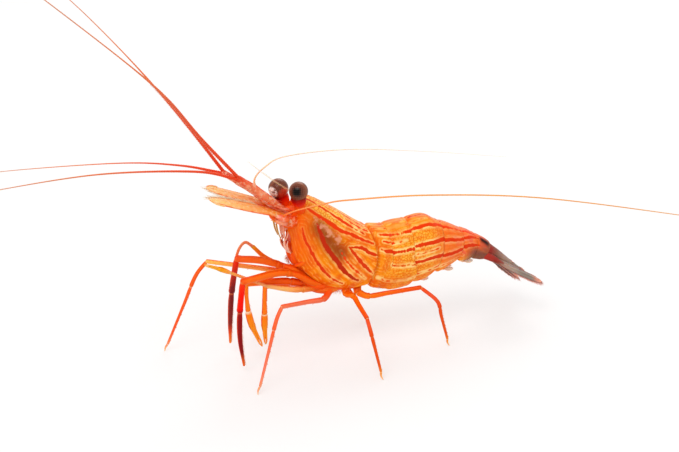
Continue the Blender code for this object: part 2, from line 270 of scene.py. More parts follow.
def rampOf(tree, value, stops):
    # a colour by places from 0 to 1 and their colour codes
    node = addNode(tree, "ShaderNodeValToRGB", {"Fac": value})
    elements = node.color_ramp.elements
    for number, (place, code) in enumerate(stops.items()):
        stop = elements[number] if number < len(elements) else elements.new(place)
        stop.position = place
        stop.color = linear(code)
    return node.outputs[0]


def reliefOf(tree, height, strength, depth):
    # fine relief with a depth in mm
    values = {"Height": height, "Strength": strength, "Distance": depth * mm}
    return addNode(tree, "ShaderNodeBump", values).outputs[0]


def newSurface(name, values):
    # a principled surface with its plain values set on its own sockets
    surface = bpy.data.materials.new(name)
    surface.use_nodes = True
    shader = surface.node_tree.nodes["Principled BSDF"]
    for key, value in values.items():
        shader.inputs[key].default_value = value
    return surface, surface.node_tree, shader


def feed(tree, shader, outputs):
    for key, output in outputs.items():
        tree.links.new(output, shader.inputs[key])


# Cuticle is chitin (IOR about 1.56) grown in thin layers and kept wet, so water (IOR 1.33) lies on it
# as a coat.
wetChitin = {
    "IOR": 1.56,
    "Specular IOR Level": 0.11,
    "Coat Weight": 0.13,
    "Coat Roughness": 0.05,
    "Coat IOR": 1.33,
    "Subsurface Weight": 0.2,
    "Subsurface Radius": (1.0, 0.3, 0.08),
    "Subsurface Scale": 0.0005,
}

shellLook = {
    "orange": "#EE6E00",
    "amber": "#FA9800",
    "front": "#EC5C00",
    "stripe": "#EE4400",
    "darkStripe": "#B82A00",
    "stripeEdge": "#FFD288",
    "netGround": "#FFCC54",
    "netLine": "#E87806",
    "gut": "#86380C",
    "paleGut": "#E8A484",
    "pink": "#EC6448",
    # painted shade: the grey-brown darkening laid on the lower flanks and rear end of the abdomen
    "dusk": "#6A4A42",
    "spot": "#2A0C0C",
    "wobble": 0.8,       # size in mm of the waves in a stripe's edge
    "netMesh": 0.5,      # width in mm of the net's meshes
    "cloud": 1.6,        # size in mm of the lighter and deeper patches
    "fleck": 0.9,        # size in mm of the pale flecks over the gut
    "streak": 0.6,       # distance in mm between the faint streaks that follow the stripes
    "grain": 0.16,       # size in mm of the fine pits, coarser than life so that they show
}


def stripedShell():
    # Wet chitin over chromatophores: red stripes with pale edges float in a glowing orange wall.
    look = shellLook
    surface, tree, shader = newSurface("wetStripedChitin", wetChitin)
    place = placeOn(tree)
    mark = marksOf(tree, "stripe", "away", "tone", "front", "net", "gut", "paleGut", "pink", "dusk", "spot",
                   "pale")
    wave = noiseOf(tree, place, look["wobble"])
    cloud = noiseOf(tree, place, look["cloud"], 3.0)
    patchy = spanOf(tree, cloud, 0.35, 0.65, soft=True)
    broken = spanOf(tree, cloud, 0.40, 0.60, bottom=0.25)
    colour = layOver(tree, look["orange"], look["amber"], patchy)

    # faint streaks beside the stripes
    bent = mathOf(tree, "MULTIPLY", cloud, 12.0)
    turns = mathOf(tree, "MULTIPLY_ADD", mark["away"], 2 * math.pi / look["streak"], bent)
    streak = mathOf(tree, "SINE", turns)
    faint = spanOf(tree, wave, 0.35, 0.6, top=0.34)
    colour = layOver(tree, colour, look["stripeEdge"], spanOf(tree, streak, 0.4, 1.0, top=faint))
    colour = layOver(tree, colour, look["stripe"], spanOf(tree, streak, -0.1, -1.0, top=faint))

    # net of fine threads
    thread = spanOf(tree, cellsOf(tree, place, look["netMesh"]), 0.20, 0.03, soft=True)
    netting = layOver(tree, look["netGround"], look["netLine"], thread)
    colour = layOver(tree, colour, netting, mark["net"])

    # pale edges, patches of colour, the painted shade under the rear of the abdomen and the stripes themselves
    field = mathOf(tree, "MULTIPLY_ADD", wave, 0.5, mark["stripe"])
    edge = rampOf(tree, field, {0.24: "#000000", 0.34: "#FFFFFF", 0.46: "#E0E0E0", 0.68: "#000000"})
    paleEdge = mathOf(tree, "MULTIPLY", edge, mathOf(tree, "MULTIPLY", broken, mark["pale"]))
    colour = layOver(tree, colour, look["stripeEdge"], paleEdge)
    # front, gut and pink are the shell's own colour; the fourth layer is painted shade under the rear of the
    # abdomen
    for name in ("front", "gut", "pink", "dusk"):
        uneven = name in ("front", "pink")
        amount = mathOf(tree, "MULTIPLY", mark[name], broken) if uneven else mark[name]
        colour = layOver(tree, colour, look[name], amount)
    red = spanOf(tree, field, 0.32, 0.18, soft=True)
    stripeColour = layOver(tree, look["stripe"], look["darkStripe"], mark["tone"])
    colour = layOver(tree, colour, stripeColour, red)

    # pale flecks of tissue over the gut, and the dark spot
    torn = mathOf(tree, "MULTIPLY_ADD", noiseOf(tree, place, look["fleck"], 3.0), 2.6, mark["paleGut"])
    colour = layOver(tree, colour, look["paleGut"], spanOf(tree, torn, 1.85, 2.5, top=0.75, soft=True))
    colour = layOver(tree, colour, look["spot"], mark["spot"])
    relief = mathOf(tree, "MULTIPLY_ADD", red, 0.6, noiseOf(tree, place, look["grain"]))
    feed(tree, shader, {"Base Color": colour, "Roughness": spanOf(tree, cloud, 0, 1, 0.24, 0.42),
                        "Normal": reliefOf(tree, relief, 0.35, 0.08)})
    return surface


limbLook = {
    "speck": 0.35,       # size in mm of the speckles of pigment
    "patch": 0.7,        # size in mm of the pale patches
    "pits": 0.06,        # depth in mm of the fine relief
}


def limbSurface(name, stops, line, joint, clear=0.0, lineAmount=0.7, mottle=0.0):
    # Wet chitin on limbs and leaves: colour by place along the limb, darker lines down its two edges,
    # pale soft skin at the joints and in patches, and fine speckles of pigment.
    surface, tree, shader = newSurface(name, {**wetChitin, "Alpha": 1 - clear})
    place = placeOn(tree)
    mark = marksOf(tree, "share", "rise", "joint")
    speck = noiseOf(tree, place, limbLook["speck"], 3.0)
    wavy = mathOf(tree, "MULTIPLY_ADD", speck, 0.5, mathOf(tree, "ABSOLUTE", mark["rise"]))
    edge = spanOf(tree, wavy, 0.95, 1.2, top=lineAmount, soft=True)
    colour = layOver(tree, rampOf(tree, mark["share"], stops), line, edge)
    if mottle:
        cloud = noiseOf(tree, place, limbLook["patch"], 3.0)
        colour = layOver(tree, colour, joint, spanOf(tree, cloud, 0.48, 0.66, top=mottle, soft=True))
    colour = layOver(tree, colour, joint, mark["joint"])
    feed(tree, shader, {"Base Color": colour, "Roughness": spanOf(tree, speck, 0, 1, 0.22, 0.45),
                        "Normal": reliefOf(tree, speck, 0.3, limbLook["pits"])})
    return surface


# Shell

carapace = {
    "width": 8.5,
    # back (x, z), belly (x, z), half width as a share of the widest place, bow of the flanks
    "ribs": [(-8.0, 28.7, -9.3, 21.6, 0.52, -0.2), (-7.3, 29.3, -9.3, 19.7, 0.76, 0.0),
             (-5.7, 28.9, -8.4, 17.0, 0.88, 0.0), (-3.2, 27.4, -6.5, 14.4, 0.97, 0.1),
             (-0.3, 25.4, -3.5, 12.3, 1.00, 0.4), (2.3, 23.4, -0.1, 11.1, 0.98, 1.0),
             (4.5, 21.8, 3.0, 10.9, 0.90, 1.6)],
    "rows": 130,
    "columns": 250,
    "skirt": 152,          # degrees from the middle of the back to the lower edge
    "frontRise": 30,       # degrees by which that edge rises to the front
    "rearRise": 16,        # and to the rear
    "thickness": 0.3,
    # the front edge: how far it lies back, at how many degrees from the back, and over how many
    "frontEdge": {"orbit": (0.5, 48, 20), "spine": (-0.9, 80, 4), "cheek": (-0.7, 112, 20)},
    "pinch": 0.5,          # share by which the front narrows towards the mouth
    "ridge": 0.45,         # height of the ridge that runs into the beak
    # half width, darkness, then (share of length, degrees from the back) along the stripe
    "stripes": [
        (0.34, 0.15, [(0.27, 42), (0.42, 46), (0.54, 48), (0.65, 52), (0.75, 50), (0.98, 53)]),
        (0.20, 0.3, [(0.12, 12), (0.35, 20), (0.55, 28), (0.70, 33), (0.90, 38)]),
        (0.28, 0.1, [(0.55, 29), (0.66, 32), (0.76, 35)]),
        (0.18, 0.0, [(0.42, 9), (0.65, 10), (0.80, 12), (1.00, 14)]),
        (0.17, 0.0, [(0.70, 22), (0.85, 26), (1.00, 28)]),
        (0.40, 0.85, [(0.41, 60), (0.46, 71), (0.54, 86), (0.66, 100), (0.76, 114), (0.88, 126)]),
        (0.25, 0.3, [(0.21, 84), (0.28, 95), (0.40, 105), (0.52, 117), (0.63, 128), (0.76, 136)]),
        (0.28, 0.35, [(0.73, 72), (0.80, 83), (0.88, 95), (1.00, 113)]),
        (0.29, 0.4, [(0.75, 71), (0.84, 67), (0.92, 72), (1.00, 76)]),
        (0.14, 0.0, [(0.66, 82), (0.74, 96), (0.84, 108), (0.94, 122)]),
    ],
    "gut": (1.7, [(0.44, 64), (0.52, 72), (0.60, 80), (0.66, 86)]),        # reach in mm, then its path
    "paleGut": (0.9, [(0.40, 52), (0.50, 60), (0.58, 66), (0.63, 69)]),
    "net": (1.9, [(0.30, 8), (0.42, 24), (0.55, 30), (0.62, 24)]),
    "front": (3.6, [(0.05, 70), (0.12, 100), (0.20, 125)]),
}
abdomen = {
    "width": 7.7,
    "ribs": [(4.5, 21.8, 3.0, 10.7, 0.97, 1.6), (7.4, 21.4, 6.4, 9.8, 0.99, 1.0),
             (11.5, 21.7, 10.7, 9.7, 1.0, 0.8), (15.3, 21.9, 13.6, 10.1, 0.97, 0.7),
             (17.9, 20.6, 15.9, 10.6, 0.90, 0.6), (22.0, 18.5, 20.3, 12.3, 0.75, 0.4),
             (24.9, 17.0, 23.7, 12.4, 0.58, 0.2), (28.2, 14.9, 26.6, 11.6, 0.48, 0.0)],
    "cuts": [0, 1, 2, 4, 5, 6, 7],      # the ribs at which one segment ends and the next begins
    "rows": 46,
    "columns": 170,
    "skirt": [146, 150, 150, 148, 146, 172],      # degrees from the back to each plate's lower edge
    "thickness": 0.25,
    "pinch": 0.0,
    "overlap": 0.5,        # how far each plate reaches over the next, in mm
    "step": 0.16,          # how far the covered edge lies below the covering one
    "corner": 0.36,        # share of a plate's length over which its lower corners are rounded
    "lobe": (1.1, 0.3),    # how far the second plate's flanks reach over their neighbours, and stand out
    "stripes": [
        (0.20, 0.5, [(0.00, 0), (0.30, 0), (0.60, 0), (1.00, 0)]),
        (0.34, 0.1, [(0.08, 33), (0.25, 36), (0.45, 34), (0.58, 24), (0.75, 19), (0.97, 24)]),
        (0.36, 0.25, [(0.06, 64), (0.18, 69), (0.45, 69), (0.60, 58), (0.75, 48), (0.95, 27)]),
        (0.34, 0.35, [(0.16, 92), (0.34, 99), (0.51, 96), (0.67, 88), (0.82, 74), (0.97, 66)]),
        (0.15, 0.0, [(0.10, 48), (0.18, 52), (0.26, 51)]),
        (0.14, 0.0, [(0.30, 84), (0.42, 85), (0.55, 78)]),
        (0.13, 0.0, [(0.05, 118), (0.24, 124), (0.50, 122), (0.75, 112)]),
        (0.13, 0.0, [(0.04, 16), (0.22, 18), (0.44, 16)]),
    ],
    "steps": [0.0, 0.22, -0.10, 0.22, -0.06, 0.0],     # how far each segment's stripes are moved up
    "ribGap": 3.6,         # usual distance between two ribs, in mm
    "spot": (0.62, [(0.925, 33), (0.97, 38)]),        # reach in mm, then its path
}


def bodyPoints(plate, shares, degrees, lift=0.0, slide=0.0, hollow=0.0):
    # points on the rounded body: shares run from its front to its rear, degrees from the back round the flank
    rib = curveAt(plate["ribs"], shares.ravel()).reshape(shares.shape + (6,))
    zero = np.zeros(shares.shape)
    back = np.stack([rib[..., 0], zero, rib[..., 1]], axis=-1)
    belly = np.stack([rib[..., 2], zero, rib[..., 3]], axis=-1)
    half = (back - belly) / 2
    length = np.linalg.norm(half, axis=-1, keepdims=True)
    tailward = np.stack([half[..., 2], zero, -half[..., 0]], axis=-1) / length
    turn = np.radians(degrees)
    side = np.sin(turn)
    rise = np.cos(turn)
    out = np.sign(side) * np.abs(side) ** np.where(rise > 0, 0.88, 0.42) * rib[..., 4] * plate["width"] / 2
    out = out * (1 - plate["pinch"] * smooth(np.abs(degrees), 80, 125) * (1 - smooth(shares, 0.02, 0.32)))
    rise = np.where(rise < 0, rise * (1 - hollow * (1 - np.abs(side)) ** 2), rise)
    offset = half * rise[..., None]
    offset[..., 1] += out
    size = np.maximum(np.linalg.norm(offset, axis=-1), 0.1)
    offset = offset * (1 + lift / size)[..., None]
    bow = rib[..., 5] * side ** 2 + slide
    return (back + belly) / 2 + offset + tailward * bow[..., None]


def onFlank(plate, path, sign, count=70):
    rows = curveAt(path, np.linspace(0, 1, count))
    return bodyPoints(plate, rows[:, 0], rows[:, 1] * sign)


def distanceTo(points, line):
    flat = points.reshape(-1, 3)
    best = np.full(len(flat), 1e9)
    nearest = np.zeros(len(flat), dtype=int)
    for number, place in enumerate(line):
        away = ((flat - place) ** 2).sum(axis=1)
        closer = away < best
        best[closer] = away[closer]
        nearest[closer] = number
    return np.sqrt(best).reshape(points.shape[:-1]), nearest.reshape(points.shape[:-1])


def stripeMarks(plate, points):
    # how many mm each point lies outside its nearest stripe, and how dark that stripe is
    stripe = np.full(points.shape[:-1], 9.0)
    tone = np.zeros(points.shape[:-1])
    nearestMm = np.full(points.shape[:-1], 9.0)
    for halfWidth, dark, path in plate["stripes"]:
        for sign in (-1, 1):
            line = onFlank(plate, path, sign)
            away, nearest = distanceTo(points, line)
            taper = 0.3 + 0.7 * np.sin(np.pi * np.clip(nearest / (len(line) - 1), 0.02, 0.98)) ** 0.5
            nearestMm = np.minimum(nearestMm, away)
            away = away - halfWidth * taper
            tone = np.where(away < stripe, dark, tone)
            stripe = np.minimum(stripe, away)
    return {"stripe": stripe, "tone": tone, "away": nearestMm}


def patchMark(plate, points, name):
    # a soft patch on both flanks along the path that the plate gives under this name
    reach, path = plate[name]
    mark = np.zeros(points.shape[:-1])
    for sign in (-1, 1):
        away = distanceTo(points, onFlank(plate, path, sign, 24))[0]
        mark = np.maximum(mark, np.exp(-(away / reach) ** 2))
    return mark


def makeCarapace(surface):
    along = np.linspace(0, 1, carapace["rows"])[:, None]
    across = np.linspace(-1, 1, carapace["columns"])[None, :]
    skirt = (carapace["skirt"] - carapace["frontRise"] * (1 - np.clip(along / 0.22, 0, 1)) ** 2
             - carapace["rearRise"] * np.clip((along - 0.8) / 0.2, 0, 1) ** 2)
    degrees = across * skirt
    steep = np.abs(degrees)
    shares = np.broadcast_to(along, degrees.shape)
    nearFront = np.clip(1 - along / 0.14, 0, 1) ** 2
    slide = nearFront * sum(reach * np.exp(-((steep - place) / width) ** 2)
                            for reach, place, width in carapace["frontEdge"].values())
    rim = 0.10 * smooth(along, 0.95, 0.975) + 0.08 * smooth(np.abs(across), 0.955, 0.975)
    ridge = carapace["ridge"] * np.exp(-(degrees / 6) ** 2) * np.clip(1 - along / 0.32, 0, 1)
    points = bodyPoints(carapace, shares, degrees, rim + ridge, slide)
    marks = stripeMarks(carapace, points)
    for name in ("gut", "paleGut", "net", "front"):
        marks[name] = patchMark(carapace, points, name)
    marks["net"] = np.clip(marks["net"] * 1.3, 0, 0.9)
    marks["front"] = marks["front"] * 0.9
    marks["gut"] = marks["gut"] * 0.8
    marks["pale"] = 0.45 + 0.5 * smooth(along, 0.5, 0.8) + 0.3 * (1 - smooth(steep, 40, 60))
    shape = newShape()
    addSheet(shape, points, carapace["thickness"], marks)
    makePiece(shape, "carapaceShell", surface, "shell", "carapace")


def makeAbdomen(surface):
    last = len(abdomen["ribs"]) - 1
    perMillimetre = 1 / last / abdomen["ribGap"]
    over = abdomen["overlap"] * perMillimetre
    along = np.linspace(0, 1, abdomen["rows"])[:, None]
    across = np.linspace(-1, 1, abdomen["columns"])[None, :]
    reach = np.abs(across)
    corner = 1 - np.sqrt(1 - np.clip((reach - 0.7) / 0.3, 0, 0.98) ** 2)
    for number in range(6):
        start = abdomen["cuts"][number] / last
        end = abdomen["cuts"][number + 1] / last
        cornerSize = abdomen["corner"] * (end - start) if number < 5 else 0.0
        lobeReach, lobeRise = abdomen["lobe"] if number == 1 else (0, 0)
        lobe = smooth(reach, 0.6, 0.8) * (lobeReach * perMillimetre)
        raised = smooth(reach, 0.55, 0.75) * lobeRise
        first = start - 0.4 * over + corner * cornerSize - lobe
        final = end + over - corner * cornerSize + lobe
        shares = first + (final - first) * along
        degrees = across * abdomen["skirt"][number] + 0 * along
        steep = np.abs(degrees)
        sunk = -abdomen["step"] * (1 - smooth(shares, start + over, start + 2.2 * over))
        if number == 0:
            sunk = sunk * 1.5
        rim = 0.07 * smooth(along, 0.90, 0.94) + 0.06 * smooth(reach, 0.95, 0.975)
        swell = 0.22 * np.sin(np.pi * along) ** 0.8 - 0.12
        if number == 5:
            rim, swell = 0, -0.2 * smooth(along, 0.6, 1.0)
        points = bodyPoints(abdomen, shares, degrees, sunk + rim + swell + raised, 0.0, 0.1)
        marks = stripeMarks(abdomen, points + (0, 0, abdomen["steps"][number]))
        marks["net"] = (0.55 * np.clip(np.sin(np.pi * np.clip((shares - 0.02) / 0.62, 0, 1)), 0, 1)
                        * smooth(steep, 18, 40) * (1 - 0.4 * smooth(steep, 100, 130)))
        # the lower rear flank: its stripes are thinned and painted shade is laid on it
        rearFlank = smooth(shares, 0.85, 0.97) * smooth(steep, 50, 78)
        marks["stripe"] = marks["stripe"] + 0.5 * rearFlank
        marks["pale"] = 1.3 * (1 - smooth(shares, 0.78, 0.9)) * (0.25 + 0.75 * smooth(steep, 20, 44))
        marks["spot"] = patchMark(abdomen, points, "spot")
        marks["pink"] = 0.9 * smooth(shares, 0.38, 0.80) * (1 - smooth(steep, 100, 135))
        # painted shade: grey-brown darkening on the lower flanks of the rear plates, on the rear end of the
        # last one and on its lower rear flank
        marks["dusk"] = np.maximum(0.85 * smooth(shares, 0.74, 0.88) * smooth(steep, 60, 105),
                                   np.maximum(0.65 * smooth(shares, 0.93, 1.0), 0.62 * rearFlank))
        shape = newShape()
        addSheet(shape, points, abdomen["thickness"], marks)
        makePiece(shape, f"abdomenPlate{number + 1}", surface, "shell", f"abdomen_{number + 1}")


flesh = {
    # x, y, z, width and height of the head's core and of the muscular mass from which the limbs spring
    "head": [(-7.6, 0, 25.0, 5.0, 5.2), (-9.4, 0, 25.5, 4.6, 3.6), (-10.8, 0, 25.9, 3.6, 2.4),
             (-11.8, 0, 26.2, 2.2, 1.5)],
    "roots": [(-8.3, 0.9, 20.2, 1.2, 1.4), (-8.4, 1.2, 18.7, 1.5, 1.8), (-7.6, 1.5, 16.8, 1.9, 1.9),
              (-6.0, 1.8, 15.0, 2.1, 1.9), (-3.6, 2.0, 13.1, 2.2, 1.9), (-0.2, 2.1, 12.2, 2.3, 1.7),
              (3.0, 1.8, 11.9, 1.8, 1.4)],
    "skin": {
        "stops": {0.0: "#F2600E", 0.3: "#F46A10", 0.55: "#FF9430", 0.8: "#F7A050", 1.0: "#8A4A40"},
        "line": "#E84E08", "joint": "#F7B08A", "lineAmount": 0.4,
    },
}


def makeFlesh():
    # The soft body under the plates, seen along the belly and in front of the carapace.
    surface = limbSurface("wetMuscleFlesh", **flesh["skin"])
    shape = newShape()
    ring = np.linspace(-180, 180, 49)[:-1][None, :]
    for plate, first, final, sunk in ((carapace, 0.04, 1.0, -0.5), (abdomen, 0.0, 0.99, -0.45)):
        shares = np.linspace(first, final, 40)[:, None] + 0 * ring
        points = bodyPoints(plate, shares, ring + 0 * shares, sunk, 0.0, 0.28)
        offset = 0.0 if plate is carapace else 0.5
        addLoft(shape, points, {"share": offset + shares / 2, "rise": np.cos(np.radians(ring))})
    addTube(shape, flesh["head"], count=16, sides=32, values={"share": 0.1})
    for sign in (-1, 1):
        addTube(shape, mirrored(flesh["roots"], sign), count=60, sides=28, values={"share": 0.12})
    makePiece(shape, "bodyFlesh", surface, "head", "head_front")


beak = {
    "path": [(-3.6, 0, 27.5), (-6.0, 0, 28.8), (-8.6, 0, 30.1), (-11.9, 0, 32.7), (-16.1, 0, 36.6)],
    # half its height and half its thickness in mm, at shares of its length
    "height": ([0, 0.2, 0.45, 0.8, 1], [0.22, 0.24, 0.15, 0.12, 0.05]),
    "thickness": ([0, 0.4, 0.8, 1], [0.14, 0.11, 0.08, 0.05]),
    "topTeeth": 7,
    "lowTeeth": 4,
    "tooth": 0.55,         # how far the upper teeth stand up, against the beak's height
    "skin": {
        "stops": {0.0: "#FF9838", 0.25: "#FFC078", 0.6: "#F8D8AC", 1.0: "#F4E0C0"},
        "line": "#F0A870", "joint": "#F8E6CC", "clear": 0.74, "lineAmount": 0.6,
    },
}


def makeBeak():
    # Clear, pale chitin: thin enough for light to pass, straw-coloured where it thickens.
    surface = limbSurface("clearBeakChitin", **beak["skin"])
    t = np.linspace(0, 1, 170)
    centre = curveAt(beak["path"], t)
    along, side, upward = framesAt(centre, (0, 1, 0))
    upward = -upward if upward[0, 2] < 0 else upward
    height = np.interp(t, *beak["height"])
    thick = np.interp(t, *beak["thickness"])
    step = (t * beak["topTeeth"]) % 1
    top = height + beak["tooth"] * height * 1.4 * step ** 2 * (1 - smooth(step, 0.86, 1.0))
    low = (t * beak["lowTeeth"] * 1.6) % 1
    below = height * (0.8 + 0.8 * low ** 2 * (1 - smooth(low, 0.85, 1.0)) * (t > 0.45))
    turn = 2 * np.pi * np.arange(20) / 20
    rise = np.cos(turn)[None, :]
    tall = np.where(rise > 0, top[:, None], below[:, None]) * rise
    wide = thick[:, None] * np.sin(turn)[None, :] * (1 - 0.5 * np.abs(rise))
    rows = centre[:, None] + upward[:, None] * tall[..., None] + side[:, None] * wide[..., None]
    shape = newShape()
    addLoft(shape, rows, {"share": t[:, None], "rise": rise})
    makePiece(shape, "beak", surface, "rostrum", "rostrum")


print("shell tools ready")

stripedChitin = stripedShell()
makeCarapace(stripedChitin)
makeAbdomen(stripedChitin)
makeFlesh()
makeBeak()
print("shell plates done")


# Eyes

eyeLook = {
    "radius": {"L": 1.60, "R": 1.72},
    "nudge": {"L": (0.10, 0.0, -0.24), "R": (-0.28, 0.0, 0.08)},       # how far each ball sits off its place
    "rows": 48,
    "columns": 72,
    "look": {"L": (-0.50, -0.78, 0.30), "R": (-0.45, 0.80, 0.30)},     # the way each dark spot faces
    "shine": {"L": (0.2, 0.9, -0.4), "R": (-0.82, -0.47, -0.15)},      # the side where a silvery reflection is painted
    "blush": {"L": (0.3, 0.8, -0.5), "R": (0.30, -0.90, -0.27)},       # where the red stalk shows through
    "facet": 0.13,      # width in mm of a facet, coarser than life so that it shows
    "skin": "#5C2A1E",
    "outer": "#94583E",
    "dark": "#040101",
    "line": "#B07E66",
    "rose": "#D04A34",
    # colour of the painted reflection
    "paintedSilverReflection": "#FFFAF4",
    "gridStep": 13.0,   # degrees between the fine lines that cross the ball
    "stalks": {
        "L": [(-7.6, -2.2, 27.3, 1.5, 1.5), (-8.1, -2.65, 28.7, 1.9, 1.9), (-8.3, -2.85, 29.4, 2.4, 2.4),
              (-8.4, -2.95, 30.2, 2.62, 2.62)],
        "R": [(-8.3, 2.3, 25.4, 1.5, 1.5), (-8.7, 3.0, 26.6, 1.8, 1.8), (-9.0, 3.3, 27.5, 2.3, 2.3),
              (-9.35, 3.45, 28.2, 2.5, 2.5)],
    },
    "stalkSkin": {
        "stops": {0.0: "#F4640E", 0.45: "#F05A10", 0.6: "#E83A0C", 0.78: "#C41000", 1.0: "#8A0000"},
        "line": "#D02A0A", "joint": "#F4A080", "lineAmount": 0.3,
    },
}


def makeCornea():
    # Cornea: a clear wet lens skin in six-sided facets over dark pigment, so gloss over a deep brown ball,
    # with a painted silvery reflection on one side.
    look = eyeLook
    surface, tree, shader = newSurface("wetFacetedCornea", {
        "IOR": 1.45, "Specular IOR Level": 0.2, "Roughness": 0.2,
        "Coat Weight": 0.22, "Coat Roughness": 0.03, "Coat IOR": 1.38})
    place = placeOn(tree)
    mark = marksOf(tree, "look", "shine", "blush", "turnAcross", "turnUp")
    facets = cellsOf(tree, place, look["facet"], 0.35)
    wavy = mathOf(tree, "MULTIPLY_ADD", noiseOf(tree, place, 0.9), 6.0, mark["look"])
    colour = rampOf(tree, mathOf(tree, "MULTIPLY", wavy, 0.01), {
        0.20: look["dark"], 0.25: "#301610", 0.34: look["skin"], 0.75: look["outer"], 1.0: look["skin"]})
    waves = [mathOf(tree, "SINE", mathOf(tree, "MULTIPLY", mark[name], 2 * math.pi / look["gridStep"]))
             for name in ("turnAcross", "turnUp")]
    lineShare = spanOf(tree, mark["look"], 14.0, 30.0, bottom=0.06, top=0.42)
    # painted reflection: a broken silvery patch on the side that the reflection's way gives
    mirror = spanOf(tree, mark["shine"], 40.0, 28.0, soft=True)
    broken = spanOf(tree, noiseOf(tree, place, 0.45), 0.40, 0.48, bottom=0.15)
    layers = {
        "rose": spanOf(tree, mark["blush"], 50.0, 24.0, top=0.85, soft=True),
        "paintedSilverReflection": mathOf(tree, "MULTIPLY", mirror, broken),
        "line": spanOf(tree, mathOf(tree, "MAXIMUM", *waves), 0.84, 1.0, top=lineShare),
        "dark": spanOf(tree, facets, 0.10, 0.0, top=0.4),
    }
    for name, amount in layers.items():
        colour = layOver(tree, colour, look[name], amount)
    feed(tree, shader, {"Base Color": colour, "Normal": reliefOf(tree, facets, 0.25, 0.04)})
    return surface


def degreesFrom(directions, target):
    return np.degrees(np.arccos(np.clip(directions @ unit(target), -1, 1)))


def gridOn(ball, target):
    # degrees across and up from the way that the dark spot faces, and a squarish distance from it
    ahead = unit(target)
    across = unit(np.cross((0, 0, 1), ahead))
    upward = np.cross(ahead, across)
    turns = [np.degrees(np.arctan2(ball @ way, ball @ ahead)) for way in (across, upward)]
    square = (turns[0] ** 4 + turns[1] ** 4) ** 0.25
    return {"turnAcross": turns[0], "turnUp": turns[1], "look": np.minimum(square, 90)}


def makeEyes():
    look = eyeLook
    cornea = makeCornea()
    stalkSkin = limbSurface("wetStalkChitin", **look["stalkSkin"])
    polar = np.linspace(0.02, np.pi - 0.02, look["rows"])[:, None]
    around = 2 * np.pi * np.arange(look["columns"])[None, :] / look["columns"]
    ball = np.stack([np.sin(polar) * np.cos(around), np.sin(polar) * np.sin(around),
                     np.cos(polar) + 0 * around], axis=-1)
    for side, socket in (("L", animal["leftEye"]), ("R", animal["rightEye"])):
        centre = np.array(socket) + look["nudge"][side]
        marks = {name: degreesFrom(ball, look[name][side]) for name in ("shine", "blush")}
        shape = newShape()
        addLoft(shape, centre + ball * look["radius"][side], {**marks, **gridOn(ball, look["look"][side])})
        makePiece(shape, f"eyeCornea{side}", cornea, "eye", f"eye_{side}")
        shape = newShape()
        addTube(shape, look["stalks"][side], (1, 0, 0), sides=32, cap=0.35)
        makePiece(shape, f"eyeStem{side}", stalkSkin, "eyestalk", f"eyestalk_{side}")


# Leaves: antenna scales, tail blades and swimmeret paddles

bristleGap = 0.11      # mm between neighbouring bristles of a fringe


def addLeaf(shape, path, wide, outline, thickness, across, ridge=0.0, camber=0.0, count=44, columns=22,
            values=None):
    # thin leaf along a path; outline gives its half widths on either side as shares of the widest place
    t = np.linspace(0, 1, count)
    v = np.linspace(-1, 1, columns)[None, :]
    centre = curveAt(path, t)
    along, side, upward = framesAt(centre, across)
    half = np.where(v < 0, np.interp(t, *outline[0])[:, None], np.interp(t, *outline[1])[:, None]) * wide / 2
    lift = (ridge * np.exp(-(v / 0.14) ** 2) + camber * (1 - v ** 2)) * np.minimum(half / (wide / 2), 1)
    outer = centre[:, None] + side[:, None] * (half * v)[..., None] + upward[:, None] * lift[..., None]
    marks = {"share": t[:, None], "rise": np.maximum(np.abs(v), np.exp(-(v / 0.09) ** 2) * (ridge > 0))}
    addSheet(shape, outer, thickness, {**marks, **(values or {})})
    return outer


def addFringe(roots, outer, first, length, sideEdges=(0, -1), every=1):
    # bristle roots along a leaf's edges, from a share of its length on, and across its tip:
    # each has its place, the way it points and its length
    start = int(first * (len(outer) - 1))
    inner = outer.shape[1] // 2
    found = []
    for edge in sideEdges:
        for row in range(start, len(outer) - 1):
            here, there = outer[row, edge], outer[row + 1, edge]
            way = unit(here - outer[row, inner]) * 0.6 + unit(there - here)
            gap = np.linalg.norm(there - here)
            for part in np.arange(0, 1, min(1.0, bristleGap / max(gap, 1e-6))):
                found.append((here + (there - here) * part, way, length))
    end, before = outer[-1], outer[-2]
    forward = (end - before).mean(axis=0)
    width = np.linalg.norm(end[-1] - end[0])
    for part in np.linspace(0, 1, max(int(width / bristleGap), 2)):
        place = part * (len(end) - 1)
        k = min(int(place), len(end) - 2)
        root = end[k] + (end[k + 1] - end[k]) * (place - k)
        fan = (root - end.mean(axis=0)) * 0.6 / max(width, 1e-6)
        found.append((root, forward / np.linalg.norm(forward) + fan, length))
    roots += found[::every]


# Bristles

bristles = {
    "sides": 3,
    "resolution": 4,
    "spread": 0.10,
    "bend": 0.14,
    "patch": 0.003,       # size of one bristle's patch on the bake map
    # thickness of a bristle against its length
    "thickness": {"paleFringe": 0.035, "tailFringe": 0.045, "feelerCombs": 0.05, "limbBrush": 0.06,
                  "legSpines": 0.22},
    "straw": {0.0: "#F8C080", 0.5: "#F8DCB0", 1.0: "#FBF0E0"},
    "rose": {0.0: "#C08078", 0.4: "#E89A88", 1.0: "#F8C8B8"},
    "orange": {0.0: "#EE6A2A", 0.6: "#F4A060", 1.0: "#F8D0A0"},
}


def newGroup(name, given, result):
    # an empty node group with its named inputs and its one output
    tree = bpy.data.node_groups.new(name, "GeometryNodeTree")
    for label, kind in given.items():
        tree.interface.new_socket(label, in_out="INPUT", socket_type="NodeSocket" + kind)
    tree.interface.new_socket(result, in_out="OUTPUT", socket_type="NodeSocketGeometry")
    return tree, addNode(tree, "NodeGroupInput").outputs


